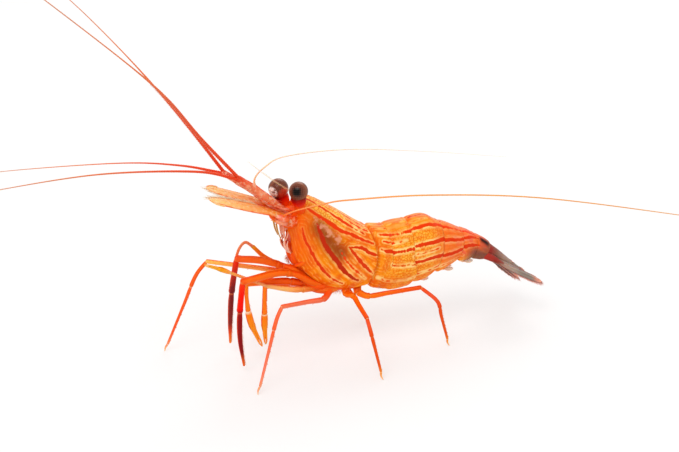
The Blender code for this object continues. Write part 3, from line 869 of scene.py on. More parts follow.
def closeGroup(tree, geometry, surface):
    real = addNode(tree, "GeometryNodeRealizeInstances", {"Geometry": geometry})
    coated = addNode(tree, "GeometryNodeSetMaterial", {"Geometry": real.outputs[0], "Material": surface})
    addNode(tree, "NodeGroupOutput", {0: coated.outputs[0]})


def storedOn(tree, geometry, name, value):
    values = {"Geometry": geometry, "Name": name, "Value": value}
    return addNode(tree, "GeometryNodeStoreNamedAttribute", values, data_type="FLOAT",
                   domain="POINT").outputs[0]


def storedValue(tree, name, kind):
    return addNode(tree, "GeometryNodeInputNamedAttribute", {"Name": name}, data_type=kind).outputs[0]


def sweptTube(tree, curve, size, sides):
    # a closed tube along a curve, with the size as its radius at each point
    profile = addNode(tree, "GeometryNodeCurvePrimitiveCircle", {"Resolution": sides, "Radius": 1.0})
    return addNode(tree, "GeometryNodeCurveToMesh", {"Curve": curve, "Scale": size, "Fill Caps": True,
                   "Profile Curve": profile.outputs[0]}).outputs[0]


def bristleTree():
    # one tapered, slightly bent bristle set on every root, along the root's own direction
    tree, given = newGroup("bristlesOnRoots", {"Roots": "Geometry", "Thickness": "Float", "Bend": "Float",
                           "Spread": "Float", "Seed": "Int", "Surface": "Material"}, "Bristles")
    middle = addNode(tree, "ShaderNodeCombineXYZ", {"Z": 0.55}).outputs[0]
    end = addNode(tree, "ShaderNodeCombineXYZ", {"X": given["Bend"], "Z": 1.0}).outputs[0]
    line = addNode(tree, "GeometryNodeCurveQuadraticBezier", {"Resolution": bristles["resolution"],
                   "Start": (0, 0, 0), "Middle": middle, "End": end}).outputs[0]
    part = addNode(tree, "GeometryNodeSplineParameter").outputs["Factor"]
    size = mathOf(tree, "MULTIPLY", mathOf(tree, "MULTIPLY_ADD", part, -0.85, 1.0), given["Thickness"])
    bristle = sweptTube(tree, storedOn(tree, line, "share", part), size, bristles["sides"])
    low, high = (addNode(tree, "ShaderNodeVectorMath", {0: (sign, sign, sign), "Scale": given["Spread"]},
                         operation="SCALE").outputs[0] for sign in (-1, 1))
    stray = addNode(tree, "FunctionNodeRandomValue", {0: low, 1: high, "Seed": given["Seed"]},
                    data_type="FLOAT_VECTOR").outputs[0]
    lie = storedValue(tree, "lie", "FLOAT_VECTOR")
    way = addNode(tree, "ShaderNodeVectorMath", {0: lie, 1: stray}, operation="ADD").outputs[0]
    turned = addNode(tree, "FunctionNodeAlignRotationToVector", {"Vector": way}, axis="Z").outputs[0]
    length = addNode(tree, "FunctionNodeRandomValue", {2: 0.75, 3: 1.1, "Seed": given["Seed"]},
                     data_type="FLOAT").outputs[1]
    scale = mathOf(tree, "MULTIPLY", length, storedValue(tree, "reach", "FLOAT"))
    placed = addNode(tree, "GeometryNodeInstanceOnPoints", {"Points": given["Roots"], "Instance": bristle,
                     "Rotation": turned, "Scale": scale}).outputs[0]
    closeGroup(tree, placed, given["Surface"])
    return tree


def growMesh(name, host, tree, settings):
    # the tree's result as a plain mesh of its own
    bpy.context.scene.collection.objects.link(host)
    modifier = host.modifiers.new("grow", "NODES")
    modifier.node_group = tree
    for socket in tree.interface.items_tree:
        if socket.item_type == "SOCKET" and socket.in_out == "INPUT" and socket.name in settings:
            modifier[socket.identifier] = settings[socket.name]
    evaluated = host.evaluated_get(bpy.context.evaluated_depsgraph_get())
    mesh = bpy.data.meshes.new_from_object(evaluated)
    bpy.data.objects.remove(host)
    for number in range(len(mesh.materials) - 1, -1, -1):
        if mesh.materials[number] is None:
            mesh.materials.pop(index=number)
    mesh.shade_smooth()
    mesh.name = name
    return mesh


def addBakeMap(mesh, roots):
    # each bristle is one small patch, at its root's place on an unwrap round the body's long axis
    places = np.array([place for place, way, reach in roots], float)
    along = (places[:, 0] - places[:, 0].min()) / max(np.ptp(places[:, 0]), 1.0)
    around = np.arctan2(places[:, 1], places[:, 2] - places[:, 2].mean()) / (2 * np.pi) + 0.5
    each = len(mesh.vertices) // len(roots)
    number = np.arange(each)
    ring = number // bristles["sides"] / max(each // bristles["sides"] - 1, 1)
    turn = number % bristles["sides"] / (bristles["sides"] - 1)
    patch = bristles["patch"] * np.stack([ring, turn], axis=1)
    spots = (1 - bristles["patch"]) * np.stack([along, around], axis=1)[:, None] + patch
    corners = np.empty(len(mesh.loops), dtype=int)
    mesh.loops.foreach_get("vertex_index", corners)
    bake = mesh.uv_layers.new(name="OFBake")
    bake.data.foreach_set("uv", spots.reshape(-1, 2)[corners].ravel())


def growBristles(name, roots, surface):
    # roots hold a place, a direction and a length, all in the animal's millimetres
    mesh = bpy.data.meshes.new(name + "Roots")
    mesh.from_pydata([tuple(np.array(place) * mm + shift) for place, way, reach in roots], [], [])
    ways = np.array([unit(way) for place, way, reach in roots], dtype=np.float32)
    reaches = np.array([reach * mm for place, way, reach in roots], dtype=np.float32)
    mesh.attributes.new("lie", "FLOAT_VECTOR", "POINT").data.foreach_set("vector", ways.ravel())
    mesh.attributes.new("reach", "FLOAT", "POINT").data.foreach_set("value", reaches)
    host = bpy.data.objects.new(name + "Roots", mesh)
    grown = growMesh(name, host, bristleNodes, {
        "Thickness": bristles["thickness"][name], "Bend": bristles["bend"], "Spread": bristles["spread"],
        "Seed": animal["seed"], "Surface": surface})
    addBakeMap(grown, roots)
    dress(grown, name, surface)


def bristleSurface(name, stops):
    # Bristles are hollow chitin hairs: clear at the tip, they take their colour from the root.
    surface, tree, shader = newSurface(name, {"IOR": 1.56, "Roughness": 0.35, "Coat Weight": 0.3,
                                              "Coat Roughness": 0.1, "Transmission Weight": 0.15})
    ground = rampOf(tree, marksOf(tree, "share")["share"], stops)
    speck = noiseOf(tree, placeOn(tree), 0.8)
    feed(tree, shader, {"Base Color": ground, "Roughness": spanOf(tree, speck, 0, 1, 0.25, 0.5)})
    return surface


print("leaf and bristle tools ready")

# Antenna scales

scaleLook = {
    "paths": {
        "L": [(-10.6, -2.6, 27.2), (-13.8, -2.9, 28.5), (-17.2, -3.0, 29.8), (-20.6, -2.9, 31.1),
              (-23.8, -2.7, 32.3)],
        "R": [(-10.8, 2.5, 27.0), (-13.7, 2.7, 28.1), (-16.6, 2.8, 29.3), (-19.8, 2.7, 30.7),
              (-22.6, 2.6, 31.9)],
    },
    "wide": 2.9,
    # half widths on the straight and on the curved side, as shares of the widest place
    "straight": ([0, 0.12, 0.5, 0.85, 0.93, 1.0], [0.45, 0.70, 0.78, 0.72, 0.66, 0.10]),
    "curved": ([0, 0.15, 0.4, 0.65, 0.85, 0.95, 1.0], [0.45, 0.80, 1.0, 0.95, 0.70, 0.42, 0.10]),
    "thickness": 0.2,
    "fringe": 1.25,        # length of its bristles
    "skin": {
        "stops": {0.0: "#F07C14", 0.3: "#F69A3C", 0.6: "#FDB868", 1.0: "#FFD490"},
        "line": "#EC6408", "joint": "#FFE4B4", "clear": 0.2, "lineAmount": 1.0, "mottle": 0.4,
    },
}


def makeScales(fringe):
    # Thin clear chitin with orange veins down both edges, golden where it thickens along the middle.
    surface = limbSurface("clearScaleChitin", **scaleLook["skin"])
    for side in "LR":
        outline = (scaleLook["curved"], scaleLook["straight"])
        curvedEdge, straightEdge = 0, -1
        if side == "R":
            outline = outline[::-1]
            curvedEdge, straightEdge = -1, 0
        shape = newShape()
        outer = addLeaf(shape, scaleLook["paths"][side], scaleLook["wide"], outline, scaleLook["thickness"],
                        (0, -1, -0.27), ridge=0.14, camber=0.22)
        edge = outer[:, straightEdge]
        point = edge[-3] + (edge[-3] - edge[-5]) * 0.8
        tooth = [(*edge[-9], 0.5, 0.35), (*edge[-5], 0.4, 0.3), (*point, 0.1, 0.1)]
        addTube(shape, tooth, count=8, sides=8, values={"share": 0.8})
        makePiece(shape, f"antennaScale{side}", surface, "antenna_scale", f"antenna_scale_{side}")
        addFringe(fringe, outer, 0.35, scaleLook["fringe"], (curvedEdge,))


# Tail fan

tail = {
    # x, y, z, width and height
    "telson": [(27.1, 0, 13.6, 2.8, 2.7), (29.6, 0, 11.9, 2.3, 1.9), (32.4, 0, 9.7, 1.7, 1.1),
               (34.8, 0, 7.8, 1.1, 0.6), (36.5, 0, 6.5, 0.55, 0.28)],
    "stem": [(26.8, 1.0, 12.8, 1.4, 1.6), (28.4, 1.5, 11.9, 1.4, 1.25), (30.0, 2.0, 10.8, 1.2, 0.8)],
    "blades": {
        ("inner", "L"): [(28.0, -1.2, 12.2), (30.2, -1.7, 11.0), (33.3, -2.0, 8.9), (36.9, -1.8, 6.4)],
        ("outer", "L"): [(28.0, -1.7, 12.0), (30.4, -2.8, 10.6), (33.6, -3.5, 8.8), (37.3, -3.3, 6.6)],
        ("inner", "R"): [(28.0, 1.2, 11.9), (29.8, 1.8, 10.4), (32.5, 2.3, 8.0), (35.6, 2.3, 5.1)],
        ("outer", "R"): [(28.0, 1.7, 11.7), (29.7, 3.0, 10.0), (32.5, 4.0, 7.4), (35.6, 4.2, 4.5)],
    },
    "wide": {"inner": 2.0, "outer": 2.25},
    "oval": ([0, 0.1, 0.3, 0.55, 0.78, 0.9, 0.97, 1.0], [0.28, 0.34, 0.66, 0.96, 1.0, 0.84, 0.5, 0.15]),
    "roll": 0.30,          # how far the whole fan leans towards the animal's left
    "thickness": 0.24,
    "fringe": 0.95,        # length of its bristles
    "skin": {
        "stops": {0.0: "#B8382A", 0.10: "#9C3A30", 0.2: "#94604F", 0.34: "#A88A7A", 0.5: "#A08C7E",
                  0.62: "#8A7C70", 0.8: "#887A6E", 0.9: "#D08A74", 1.0: "#F6A47C"},
        "line": "#7C4A40", "joint": "#8C4A40", "lineAmount": 0.6,
    },
}


def makeTail(fringe):
    # Wet chitin with grey-violet pigment down the middle, clearing towards rose-coloured tips.
    surface = limbSurface("greyTailChitin", **tail["skin"])
    shape = newShape()
    addTube(shape, tail["telson"], count=36, sides=28, cap=0.6)
    for here in curveAt(tail["telson"], [0.5, 0.72]):
        for sign in (-1, 1):
            root = here[:3] + (0.1, sign * here[3] * 0.3, here[4] * 0.42)
            spine = [(*root, 0.22, 0.22), (*(root + (0.75, 0, -0.45)), 0.05, 0.05)]
            addTube(shape, spine, count=6, sides=6, values={"share": 0.9})
    end = curveAt(tail["telson"], [1.0])[0]
    for place in np.linspace(-1, 1, 9):
        fringe.append((end[:3] + (0, place * 0.25, 0), (0.75, place * 0.3, -0.62), tail["fringe"] * 0.8))
    for sign in (-1, 1):
        addTube(shape, mirrored(tail["stem"], sign), count=14, sides=18, marked=(0.0, 0.16), cap=0.7)
    makePiece(shape, "telsonPlate", surface, "tail_fan", "telson")
    for (kind, side), path in tail["blades"].items():
        shape = newShape()
        outer = addLeaf(shape, path, tail["wide"][kind], (tail["oval"], tail["oval"]), tail["thickness"],
                        (0, 1, tail["roll"]), ridge=0.13, camber=0.12)
        makePiece(shape, f"tail{kind.capitalize()}{side}Blade", surface, "tail_fan", f"tail_{kind}_{side}")
        addFringe(fringe, outer, 0.5, tail["fringe"])


# Feelers

feelers = {
    "ring": 0.42,          # length in mm of one ring of a feeler
    "swell": 0.22,         # how much wider each ring is at its far end
    "sides": 8,
    "ringSteps": 4,        # points along each ring
    "stems": {
        "L": [(-8.9, -1.05, 26.4, 1.3, 1.2), (-11.2, -1.15, 28.1, 1.35, 1.3), (-13.6, -1.2, 30.4, 1.5, 1.5),
              (-16.2, -1.25, 32.8, 1.25, 1.3), (-18.4, -1.3, 34.6, 1.0, 1.0)],
        "R": [(-8.9, 1.0, 25.8, 1.2, 1.1), (-11.8, 1.1, 28.0, 1.35, 1.3), (-14.8, 1.2, 30.8, 1.45, 1.5),
              (-17.8, 1.25, 33.1, 1.2, 1.2), (-20.1, 1.3, 34.8, 1.0, 1.0)],
    },
    "stemSleeve": ([0, 0.1, 0.5, 0.92, 1.0], [0.86, 0.98, 0.96, 1.1, 1.02]),
    "stemCuts": [(0.0, 0.46), (0.45, 0.74), (0.73, 1.0)],      # where each of its three segments lies
    "flap": [(-9.6, 1.9, 27.6), (-11.6, 2.1, 28.6), (-13.9, 1.9, 30.0)],
    "combs": 70,           # small bristles along each outer feeler
    # the segments that carry each antenna: the colour shares at their two ends, then their knots
    "bases": [
        (0.0, 0.35, [(-8.6, 1.7, 25.4, 1.9, 2.1), (-9.9, 2.4, 25.8, 1.8, 1.8), (-10.9, 2.8, 26.1, 1.4, 1.3)]),
        (0.5, 0.9, [(-10.2, 2.5, 25.9, 1.7, 1.6), (-11.3, 2.8, 26.2, 1.5, 1.3),
                    (-12.3, 3.0, 26.6, 0.9, 0.8)]),
        (0.35, 0.7, [(-10.6, 3.2, 26.7, 1.2, 1.1), (-11.6, 3.4, 27.2, 1.1, 1.0),
                     (-12.4, 3.4, 27.6, 0.7, 0.6)]),
        (0.9, 1.0, [(-10.9, 2.9, 25.8, 0.7, 0.5), (-12.2, 3.0, 26.4, 0.6, 0.4),
                    (-13.3, 3.0, 26.9, 0.1, 0.1)]),
    ],
    # x, y, z and thickness along each feeler
    "paths": {
        "feeler_outer_L": [(-18.2, -1.35, 34.6, 0.62), (-24.7, -2.0, 42.9, 0.56), (-30.6, -5.0, 51.3, 0.46),
                           (-36.6, -6.0, 58.0, 0.24), (-49.5, -8.0, 70.7, 0.17), (-54.5, -8.8, 75.2, 0.12)],
        "feeler_outer_R": [(-19.9, 1.45, 34.9, 0.62), (-23.9, 1.9, 41.1, 0.54), (-27.9, 4.0, 47.0, 0.42),
                           (-33.5, 7.2, 54.5, 0.22), (-40.2, 10.4, 62.5, 0.16), (-47.0, 13.0, 69.5, 0.10)],
        "feeler_inner_L": [(-18.3, -1.4, 34.4, 0.58), (-25.9, -2.6, 37.4, 0.44), (-42.1, -5.2, 40.5, 0.27),
                           (-58.7, -10.0, 42.5, 0.15), (-66.0, -12.6, 43.0, 0.10)],
        "feeler_inner_R": [(-20.1, 1.3, 34.7, 0.58), (-26.9, 2.5, 36.6, 0.38), (-36.6, 4.0, 37.9, 0.22),
                           (-53.7, 8.0, 37.6, 0.13), (-62.0, 10.6, 36.4, 0.08)],
        "antenna_L": [(-11.4, -3.5, 27.2, 0.5), (-11.1, -3.85, 27.8, 0.4), (-10.4, -4.1, 28.2, 0.30),
                      (-9.5, -4.3, 28.5, 0.24), (-8.0, -4.9, 29.0, 0.24), (-4.7, -6.4, 30.0, 0.26),
                      (-1.2, -8.0, 30.7, 0.28), (10.5, -14.0, 32.2, 0.26),
                      (27.5, -20.0, 31.5, 0.22), (50.4, -26.0, 27.2, 0.16), (64.0, -29.4, 24.0, 0.11)],
        "antenna_R": [(-11.5, 4.0, 25.8, 1.2), (-11.7, 4.3, 26.2, 1.1), (-12.2, 4.6, 27.7, 0.7),
                      (-13.3, 5.4, 30.5, 0.34), (-10.5, 8.0, 31.6, 0.28), (-4.7, 13.0, 30.8, 0.24),
                      (10.9, 23.0, 25.8, 0.20), (30.0, 32.0, 19.0, 0.15), (50.0, 38.0, 12.5, 0.10)],
    },
    "red": {0.0: "#E24A24", 0.3: "#DE6440", 0.55: "#DA8458", 0.85: "#CC9070", 1.0: "#DDBFA8"},
    "straw": {0.0: "#EE6A20", 0.04: "#F29A5C", 0.3: "#E6A45C", 0.7: "#E0A468", 1.0: "#E4B890"},
    "pale": {0.0: "#EE8244", 0.08: "#F2BC90", 0.2: "#F8E2CC", 1.0: "#FBF0E4"},
    "stemSkin": {
        "stops": {0.0: "#F0641E", 0.3: "#F07A48", 0.6: "#F4946C", 0.85: "#EE6E48", 1.0: "#E04A24"},
        "line": "#E03A14", "joint": "#FFC8A4", "clear": 0.16, "mottle": 0.7,
    },
    "baseSkin": {
        "stops": {0.0: "#EA5A0C", 0.35: "#EE6A2C", 0.6: "#F08468", 0.9: "#F6A078", 1.0: "#E89A18"},
        "line": "#E0480C", "joint": "#FFD8B8", "mottle": 0.5,
    },
}


def feelerTree():
    # a ringed tube along a curve: each ring widens to its far end, as the beads of a feeler do
    tree, given = newGroup("ringedFeeler", {"Path": "Geometry", "Ring Length": "Float", "Swell": "Float",
                           "Sides": "Int", "Surface": "Material"}, "Feeler")
    step = mathOf(tree, "DIVIDE", given["Ring Length"], feelers["ringSteps"])
    along = {"Curve": given["Path"], "Length": step}
    evenly = addNode(tree, "GeometryNodeResampleCurve", along, mode="LENGTH")
    share = addNode(tree, "GeometryNodeSplineParameter").outputs["Factor"]
    marked = storedOn(tree, evenly.outputs[0], "share", share)
    number = addNode(tree, "GeometryNodeInputIndex").outputs[0]
    inRing = mathOf(tree, "MODULO", number, feelers["ringSteps"])
    ringed = storedOn(tree, marked, "ring", inRing)
    wider = mathOf(tree, "MULTIPLY", inRing, given["Swell"])
    factor = mathOf(tree, "MULTIPLY_ADD", wider, 0.33, 0.85)
    size = mathOf(tree, "MULTIPLY", addNode(tree, "GeometryNodeInputRadius").outputs[0], factor)
    closeGroup(tree, sweptTube(tree, ringed, size, given["Sides"]), given["Surface"])
    return tree


def feelerSurface(name, stops):
    # Ringed chitin: each ring darker at its seam, the whole fading to clear straw at the tip.
    surface, tree, shader = newSurface(name, wetChitin)
    mark = marksOf(tree, "share", "ring")
    ground = rampOf(tree, mark["share"], stops)
    colour = layOver(tree, ground, ground, spanOf(tree, mark["ring"], 1.0, 0.0, top=0.35), "MULTIPLY")
    rough = spanOf(tree, mark["ring"], 0.0, 3.0, bottom=0.45, top=0.25)
    feed(tree, shader, {"Base Color": colour, "Roughness": rough})
    return surface


def makeFeelers(combs):
    red = feelerSurface("redFeelerChitin", feelers["red"])
    skins = {"antenna_L": feelerSurface("strawFeelerChitin", feelers["straw"]),
             "antenna_R": feelerSurface("paleFeelerChitin", feelers["pale"])}
    stemSkin = limbSurface("rosyStemChitin", **feelers["stemSkin"])
    baseSkin = limbSurface("orangeBaseChitin", **feelers["baseSkin"])
    for side, sign in (("L", -1), ("R", 1)):
        shape = newShape()
        for span in feelers["stemCuts"]:
            addTube(shape, feelers["stems"][side], span=span, count=16, sides=20,
                    sleeve=feelers["stemSleeve"], cap=0.5)
        addLeaf(shape, mirrored(feelers["flap"], sign), 1.0, (scaleLook["straight"], scaleLook["straight"]),
                0.16, (0, -1, 0.2 * sign), count=16, columns=10, values={"share": 0.2})
        makePiece(shape, f"antennuleStem{side}", stemSkin, "antennule", f"antennule_{side}")
        base = newShape()
        for first, final, path in feelers["bases"]:
            addTube(base, mirrored(path, sign), count=14, sides=18, marked=(first, final))
        makePiece(base, f"antennaBase{side}", baseSkin, "head")
    for name, path in feelers["paths"].items():
        rows = curveAt(path, np.linspace(0, 1, 90))
        curve = bpy.data.curves.new(name + "Path", "CURVE")
        curve.dimensions = "3D"
        spline = curve.splines.new("POLY")
        spline.points.add(len(rows) - 1)
        for point, row in zip(spline.points, rows):
            point.co = (*(row[:3] * mm + shift), 1.0)
            point.radius = row[3] / 2 * mm
        host = bpy.data.objects.new(name + "Path", curve)
        surface = skins.get(name, red)
        made = "ringed" + "".join(part.capitalize() for part in name.split("_"))
        grown = growMesh(made, host, feelerNodes, {"Ring Length": feelers["ring"] * mm, "Surface": surface,
                                                   "Swell": feelers["swell"], "Sides": feelers["sides"]})
        dress(grown, made, surface, [name])
        if "outer" in name:
            for place in np.linspace(0.06, 0.5, feelers["combs"]):
                here, there = curveAt(path, [place, place + 0.01])[:, :3]
                ahead = unit(there - here)
                down = np.cross(ahead, (0, 1, 0))
                down = -down if down[2] > 0 else down
                combs.append((here + down * 0.15, down * 0.6 + ahead * 0.9, 0.55))


# Limbs

limbs = {
    "leg": 0.7,            # thickness of a walking leg's long segments
    "sides": 14,
    # thickness along one segment and along a root, against the limb's own
    "segment": ([0, 0.06, 0.14, 0.5, 0.9, 0.97, 1.0], [0.80, 0.88, 1.0, 0.97, 1.06, 1.16, 1.08]),
    "root": ([0, 0.2, 0.45, 0.55, 0.8, 1.0], [0.85, 1.05, 0.98, 1.08, 1.0, 0.7]),
    # hip, thigh joint, knee, wrist and toe tip
    "walking": {
        "leg3_L": [(-2.9, -2.9, 12.0), (-4.6, -4.5, 11.4), (-13.3, -8.0, 13.2), (-14.6, -8.8, 11.3),
                   (-19.3, -12.5, 0.0)],
        "leg3_R": [(-6.4, 2.7, 13.5), (-9.6, 3.6, 13.9), (-21.6, 7.0, 16.2), (-23.6, 7.3, 13.6),
                   (-29.5, 7.6, 0.0)],
        "leg4_L": [(0.0, -3.2, 10.9), (0.6, -5.0, 11.2), (0.7, -11.0, 9.9), (1.0, -11.8, 8.0),
                   (2.0, -15.3, 0.0)],
        "leg4_R": [(-2.9, 2.8, 11.6), (-4.2, 4.6, 10.4), (-10.8, 8.0, 8.9), (-10.75, 8.3, 6.8),
                   (-11.2, 7.8, 0.0)],
        "leg5_L": [(2.2, -2.9, 10.7), (3.9, -3.9, 10.1), (12.2, -7.0, 11.7), (15.1, -7.7, 8.8),
                   (17.3, -8.3, 0.0)],
        "leg5_R": [(1.6, 2.8, 10.5), (1.6, 4.8, 11.0), (1.0, 10.5, 13.5), (2.5, 9.3, 10.4), (7.6, 5.2, 0.0)],
    },
    "redSkin": {
        "stops": {0.0: "#F2700A", 0.10: "#F67E10", 0.2: "#F4740E", 0.46: "#E8540C", 0.54: "#EE5E34",
                  0.62: "#E25410", 0.85: "#DE5814", 0.93: "#F09A3C", 1.0: "#F6C890"},
        "line": "#D04000", "joint": "#FFB884", "lineAmount": 0.5,
    },
    "rosySkin": {
        "stops": {0.0: "#F2600E", 0.08: "#F05A14", 0.2: "#F07A56", 0.48: "#F27A54", 0.62: "#F26A3A",
                  0.85: "#F08468", 0.93: "#F6A878", 1.0: "#F6D0A8"},
        "line": "#EE5A1E", "joint": "#FFC09A", "lineAmount": 0.6,
    },
    "clearSkin": {
        "stops": {0.0: "#F2600E", 0.1: "#FF9430", 0.2: "#FFB868", 0.46: "#FFC062", 0.5: "#F06A20",
                  0.85: "#F06030", 0.93: "#F6A878", 1.0: "#F6D88A"},
        "line": "#EE5E0C", "joint": "#FFC09A", "lineAmount": 0.95,
    },
}


def addSegments(shape, knots, joints, marks):
    # limb segments between joints, each flared over the narrower root of the next
    for number, span in enumerate(zip(joints[:-1], joints[1:])):
        addTube(shape, knots, span=span, count=22, sides=limbs["sides"], sleeve=limbs["segment"], cap=0.6,
                marked=(marks[number], marks[number + 1]), soft=0.05)


def addCoxa(shape, hip, width):
    # the stout first segment that ties a limb to the chest
    inner = hip * (1, 0.45, 1) + (0.4, 0, 1.1)
    middle = (hip + inner) / 2 + (0, 0, 0.1)
    knots = [(*inner, width * 1.1, width), (*middle, width * 1.15, width * 1.1),
             (*hip, width * 0.95, width * 0.95)]
    addTube(shape, knots, (1, 0, 0), count=12, sides=16, marked=(0.0, 0.04), cap=0.7)


def addRoots(shape, paths, sign):
    # overlapping root segments that run from a limb back under the edge of the carapace
    for path in paths:
        addTube(shape, mirrored(path, sign), (0, 1, 0.4), count=18, sides=16, sleeve=limbs["root"],
                marked=(0.0, 0.1), cap=0.7)


def addSpines(roots, knots, shares, reach, down=(0, 0, -1)):
    for here, there in zip(curveAt(knots, shares), curveAt(knots, np.array(shares) + 0.02)):
        ahead = unit(there[:3] - here[:3])
        out = unit(np.array(down) - ahead * np.dot(down, ahead))
        roots.append((here[:3] + out * here[3] * 0.42, out + ahead * 0.8, reach))


def makeWalkingLegs(spines):
    # Red-orange chitin, deepest along the long segments, paler at the joints and straw-coloured at the toes.
    red = limbSurface("redLegChitin", **limbs["redSkin"])
    skins = {"leg3_L": limbSurface("rosyLegChitin", **limbs["rosySkin"]),
             "leg3_R": limbSurface("clearLegChitin", **limbs["clearSkin"])}
    size = limbs["leg"]
    for name, path in limbs["walking"].items():
        hip, thigh, knee, wrist, foot = np.array(path, dtype=float)
        upper = [(*hip, 1.9 * size, 1.9 * size), (*thigh, 1.4 * size, 1.45 * size),
                 (*(thigh + 0.4 * (knee - thigh)), 1.1 * size, 1.25 * size), (*knee, 0.95 * size, 1.0 * size)]
        claw = foot + unit(wrist - foot) * 1.5
        lower = [(*knee, 0.95 * size, 0.95 * size), (*wrist, 0.95 * size, 0.98 * size),
                 (*(wrist + 0.4 * (claw - wrist)), 0.76 * size, 0.82 * size),
                 (*claw, 0.54 * size, 0.58 * size)]
        toe = [(*claw, 0.54 * size, 0.58 * size), (*(claw * 0.5 + foot * 0.5 + (-0.16, 0, 0)), 0.28, 0.31),
               (foot[0], foot[1], 0.07, 0.12, 0.14)]
        shape = newShape()
        addCoxa(shape, hip, 1.9 * size)
        addSegments(shape, upper, [0.0, 0.34, 1.0], [0.02, 0.12, 0.46])
        addSegments(shape, lower, [0.0, 0.47, 1.0], [0.48, 0.62, 0.90])
        addTube(shape, toe, count=14, marked=(0.90, 1.0), soft=0.15, cap=0.5)
        makePiece(shape, f"walkingLeg{name[3]}{name[-1]}", skins.get(name, red), "walking_leg",
                  f"{name}_upper", f"{name}_lower")
        addSpines(spines, upper, [0.55, 0.68, 0.80, 0.92], 0.42)
        inward = (0.6, 0, -0.2) if foot[0] > 0 else (0.8, 0, -0.2)
        addSpines(spines, lower, np.linspace(0.55, 0.97, 9), 0.34, inward)


pincer = {
    "palm": (0.0, 0.56),       # the part of the claw's length that is palm
    "palmSleeve": ([0, 0.06, 0.4, 1], [0.82, 1.0, 1.02, 0.9]),
    # along each finger: place on the claw, gap from its middle and thickness, both against the palm's width
    "fingers": [(0.46, 0.24, 0.62), (0.62, 0.17, 0.46), (0.78, 0.16, 0.36), (0.92, 0.16, 0.25),
                (1.0, 0.02, 0.12)],
}


def addPincer(shape, knots, marks):
    # palm and two slim fingers, the fingers parted a little and crossing at their hooked tips
    middle = (marks[0] + marks[1]) / 2
    addTube(shape, knots, span=pincer["palm"], count=18, sides=16, marked=(marks[0], middle), soft=0.08,
            sleeve=pincer["palmSleeve"])
    places, gaps, sizes = np.array(pincer["fingers"]).T
    rows = curveAt(knots, places)
    upward = framesAt(rows[:, :3], (0, 1, 0))[2]
    wide = rows[0, 3]
    for sign in (-1, 1):
        finger = [(*(row[:3] + up * gap), size, size)
                  for row, up, gap, size in zip(rows, upward, gaps * wide * sign, sizes * wide)]
        addTube(shape, finger, count=18, marked=(middle, marks[1]), cap=0.9)


